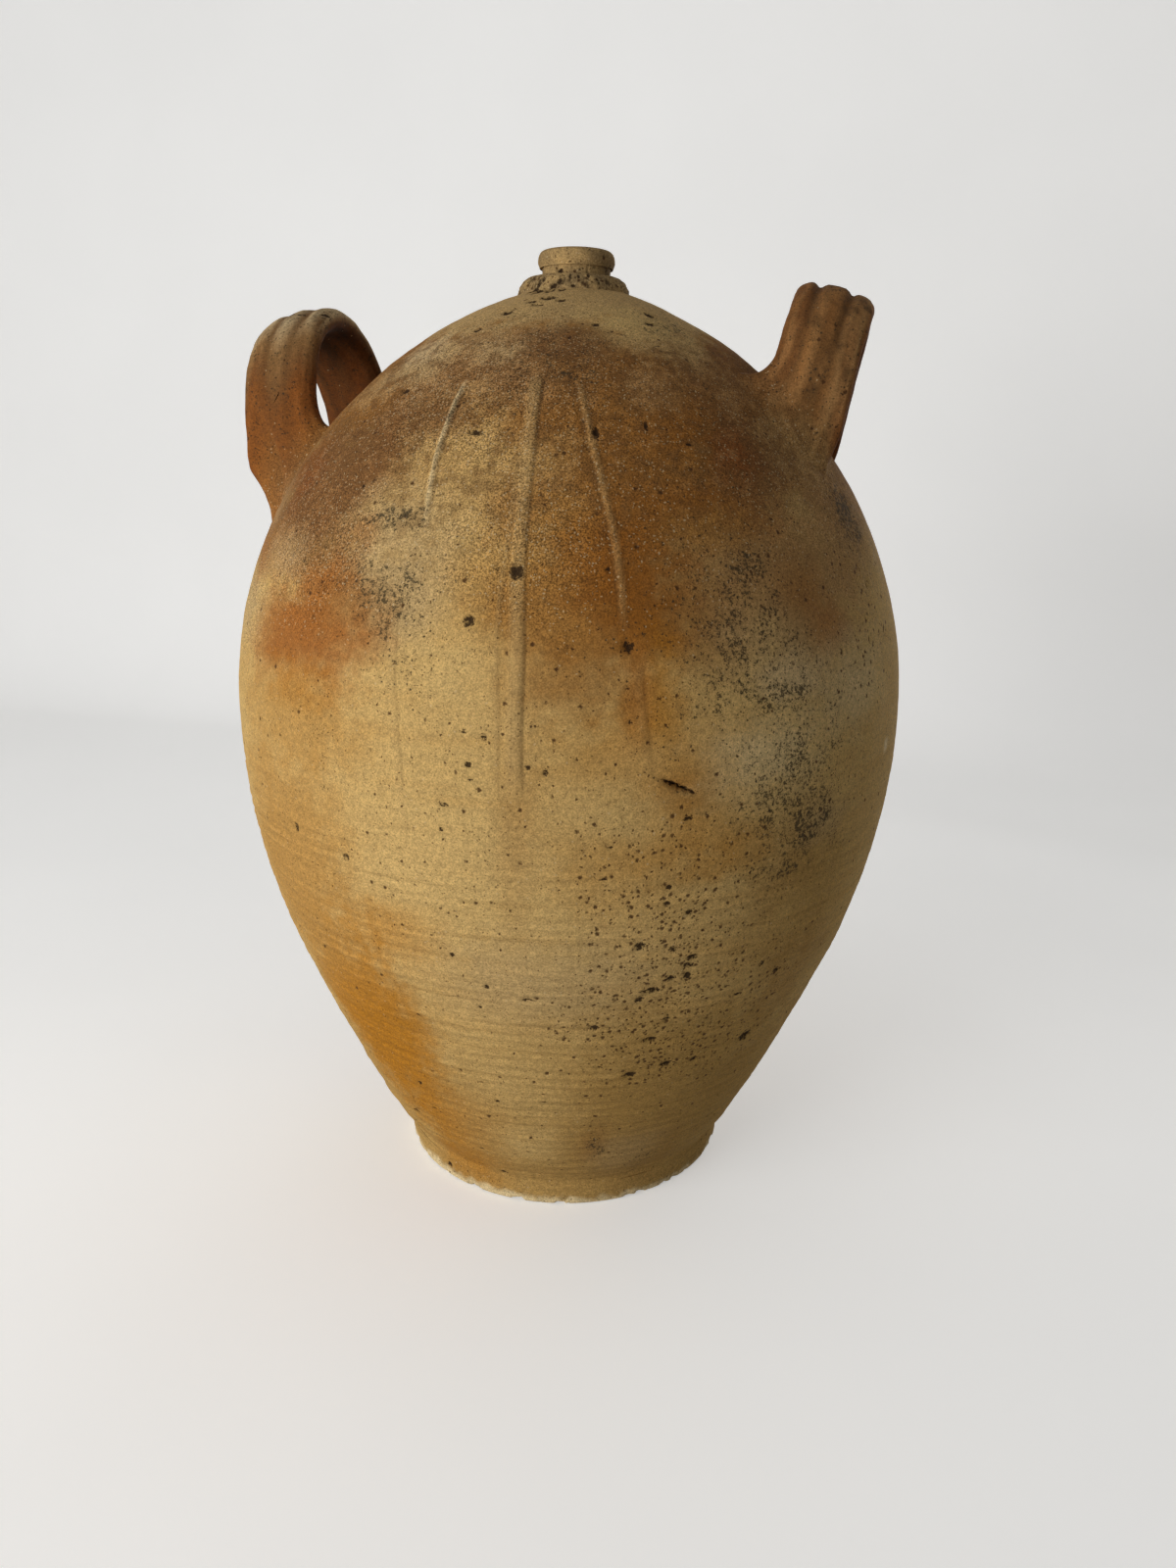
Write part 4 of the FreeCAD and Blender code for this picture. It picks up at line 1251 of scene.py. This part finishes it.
class OLIVEJAR_OT_stage(bpy.types.Operator):
    """Set up the floor, the backdrop, the light and the camera"""

    bl_idname = "olive_jar.stage"
    bl_label = "Stage"

    def execute(self, context):
        look = context.scene.olive_jar.stage
        self.sweep(look)
        self.lamps(context.scene, look)
        self.room(context.scene, look)
        self.camera(context.scene, look)
        context.scene.view_settings.view_transform = "Standard"
        return {"FINISHED"}

    def sweep(self, look):
        """Floor that curves up into the backdrop."""
        bm = bmesh.new()
        wide, front, bend, tall = 3.0, -3.0, 0.25, 2.6
        back = look.backdrop_distance
        bmesh.ops.create_grid(bm, x_segments=1, y_segments=1, size=1)
        for vert in bm.verts:
            vert.co = (vert.co.x * wide, back if vert.co.y > 0 else front, 0)
        rear = [edge for edge in bm.edges if all(vert.co.y > 0 for vert in edge.verts)]
        bmesh.ops.spin(bm, geom=rear + list(rear[0].verts), cent=(0, back, bend), axis=(1, 0, 0),
                       dvec=(0, 0, 0), angle=math.pi / 2, steps=24)
        top = [edge for edge in bm.edges if all(abs(vert.co.z - bend) < 1e-5 for vert in edge.verts)]
        grown = bmesh.ops.extrude_edge_only(bm, edges=top)["geom"]
        grown = [item for item in grown if isinstance(item, bmesh.types.BMVert)]
        bmesh.ops.translate(bm, verts=grown, vec=(0, 0, tall))
        bmesh.ops.recalc_face_normals(bm, faces=bm.faces[:])
        floor = linked(bm, "sweep")
        floor.data.shade_smooth()
        paper = Shader("pale_paper")
        made = paper.mix(paper.ramp(paper.grain(2.2, 0.55), 0.3, 0.7), (*look.floor, 1),
                         (*(channel * 0.97 for channel in look.floor), 1))
        seen = paper.seen()
        shown = paper.maths("MAXIMUM", seen, paper.ramp(paper.height(), 0.0, 0.25))
        paper.feed(paper.surface.inputs["Base Color"], paper.mix(shown, (*look.bounce, 1), made))
        paper.feed(paper.surface.inputs["Emission Color"], made)
        paper.feed(paper.surface.inputs["Emission Strength"], paper.times(seen, look.glow))
        paper.surface.inputs["Roughness"].default_value = 0.95
        floor.data.materials.append(paper.material)

    def lamps(self, scene, look):
        """Window-like light from the left, and soft ones behind and overhead."""
        self.lamp(scene, "window", look.key_power, look.key_place, (1.2, 0.8))
        self.lamp(scene, "back_light", look.back_power, look.back_place, (1.1, 0.5), spread=80)
        self.lamp(scene, "top_light", look.top_power, look.top_place, (0.9, 0.9))

    def room(self, scene, look):
        """Weak light from all round, which the eye sees paler than it is."""
        scene.world = bpy.data.worlds.new("soft_room")
        room = Nodes(scene.world)
        background = room.tree.nodes["Background"]
        background.inputs["Color"].default_value = (1, 1, 1, 1)
        strength = room.plus(room.times(room.seen(), look.sky - look.fill), look.fill)
        room.feed(background.inputs["Strength"], strength)

    def lamp(self, scene, name, power, place, size, spread=180):
        """Area lamp aimed at the jar, itself out of sight."""
        light = bpy.data.lights.new(name, "AREA")
        light.shape = "RECTANGLE"
        light.size, light.size_y = size
        light.energy = power
        light.spread = math.radians(spread)
        lamp = bpy.data.objects.new(name, light)
        lamp.location = place
        lamp.rotation_euler = (AIM - lamp.location).to_track_quat("-Z", "Y").to_euler()
        lamp.visible_camera = False
        scene.collection.objects.link(lamp)

    def camera(self, scene, look):
        """Camera at the photographed angle."""
        lens = bpy.data.cameras.new("view")
        lens.sensor_fit = "VERTICAL"
        lens.sensor_height = 36
        lens.lens = look.lens
        eye = bpy.data.objects.new("view", lens)
        turned_left = Matrix.Rotation(look.turn, 4, "Z")
        tipped = Matrix.Rotation(math.pi / 2 - look.pitch, 4, "X")
        rolled = Matrix.Rotation(look.roll, 4, "Z")
        eye.matrix_world = Matrix.Translation(look.eye) @ turned_left @ tipped @ rolled
        scene.collection.objects.link(eye)
        scene.camera = eye


class OLIVEJAR_PT_sidebar(bpy.types.Panel):
    """Lists the steps that build the jar"""

    bl_idname = "OLIVEJAR_PT_sidebar"
    bl_label = "Olive Jar"
    bl_space_type = "VIEW_3D"
    bl_region_type = "UI"
    bl_category = "Olive Jar"

    def draw(self, context):
        for step in STEPS:
            self.layout.operator(step.bl_idname)


STEPS = (
    OLIVEJAR_OT_stage,
    OLIVEJAR_OT_lower_bowl,
    OLIVEJAR_OT_shoulder_dome,
    OLIVEJAR_OT_foot_disc,
    OLIVEJAR_OT_neck,
    OLIVEJAR_OT_hoops,
)
GROUPS = (JarSizes, LeftHoop, RightHoop, ClayTints, Finish, StageLook, OliveJar)
CLASSES = (*GROUPS, *STEPS, OLIVEJAR_PT_sidebar)


def register():
    for item in CLASSES:
        bpy.utils.register_class(item)
    bpy.types.Scene.olive_jar = PointerProperty(type=OliveJar)


def unregister():
    del bpy.types.Scene.olive_jar
    for item in reversed(CLASSES):
        bpy.utils.unregister_class(item)


def main():
    register()
    bpy.ops.olive_jar.stage()
    bpy.ops.olive_jar.lower_bowl()
    bpy.ops.olive_jar.shoulder_dome()
    bpy.ops.olive_jar.foot_disc()
    bpy.ops.olive_jar.neck()
    bpy.ops.olive_jar.hoops()


if __name__ == "__main__":
    main()
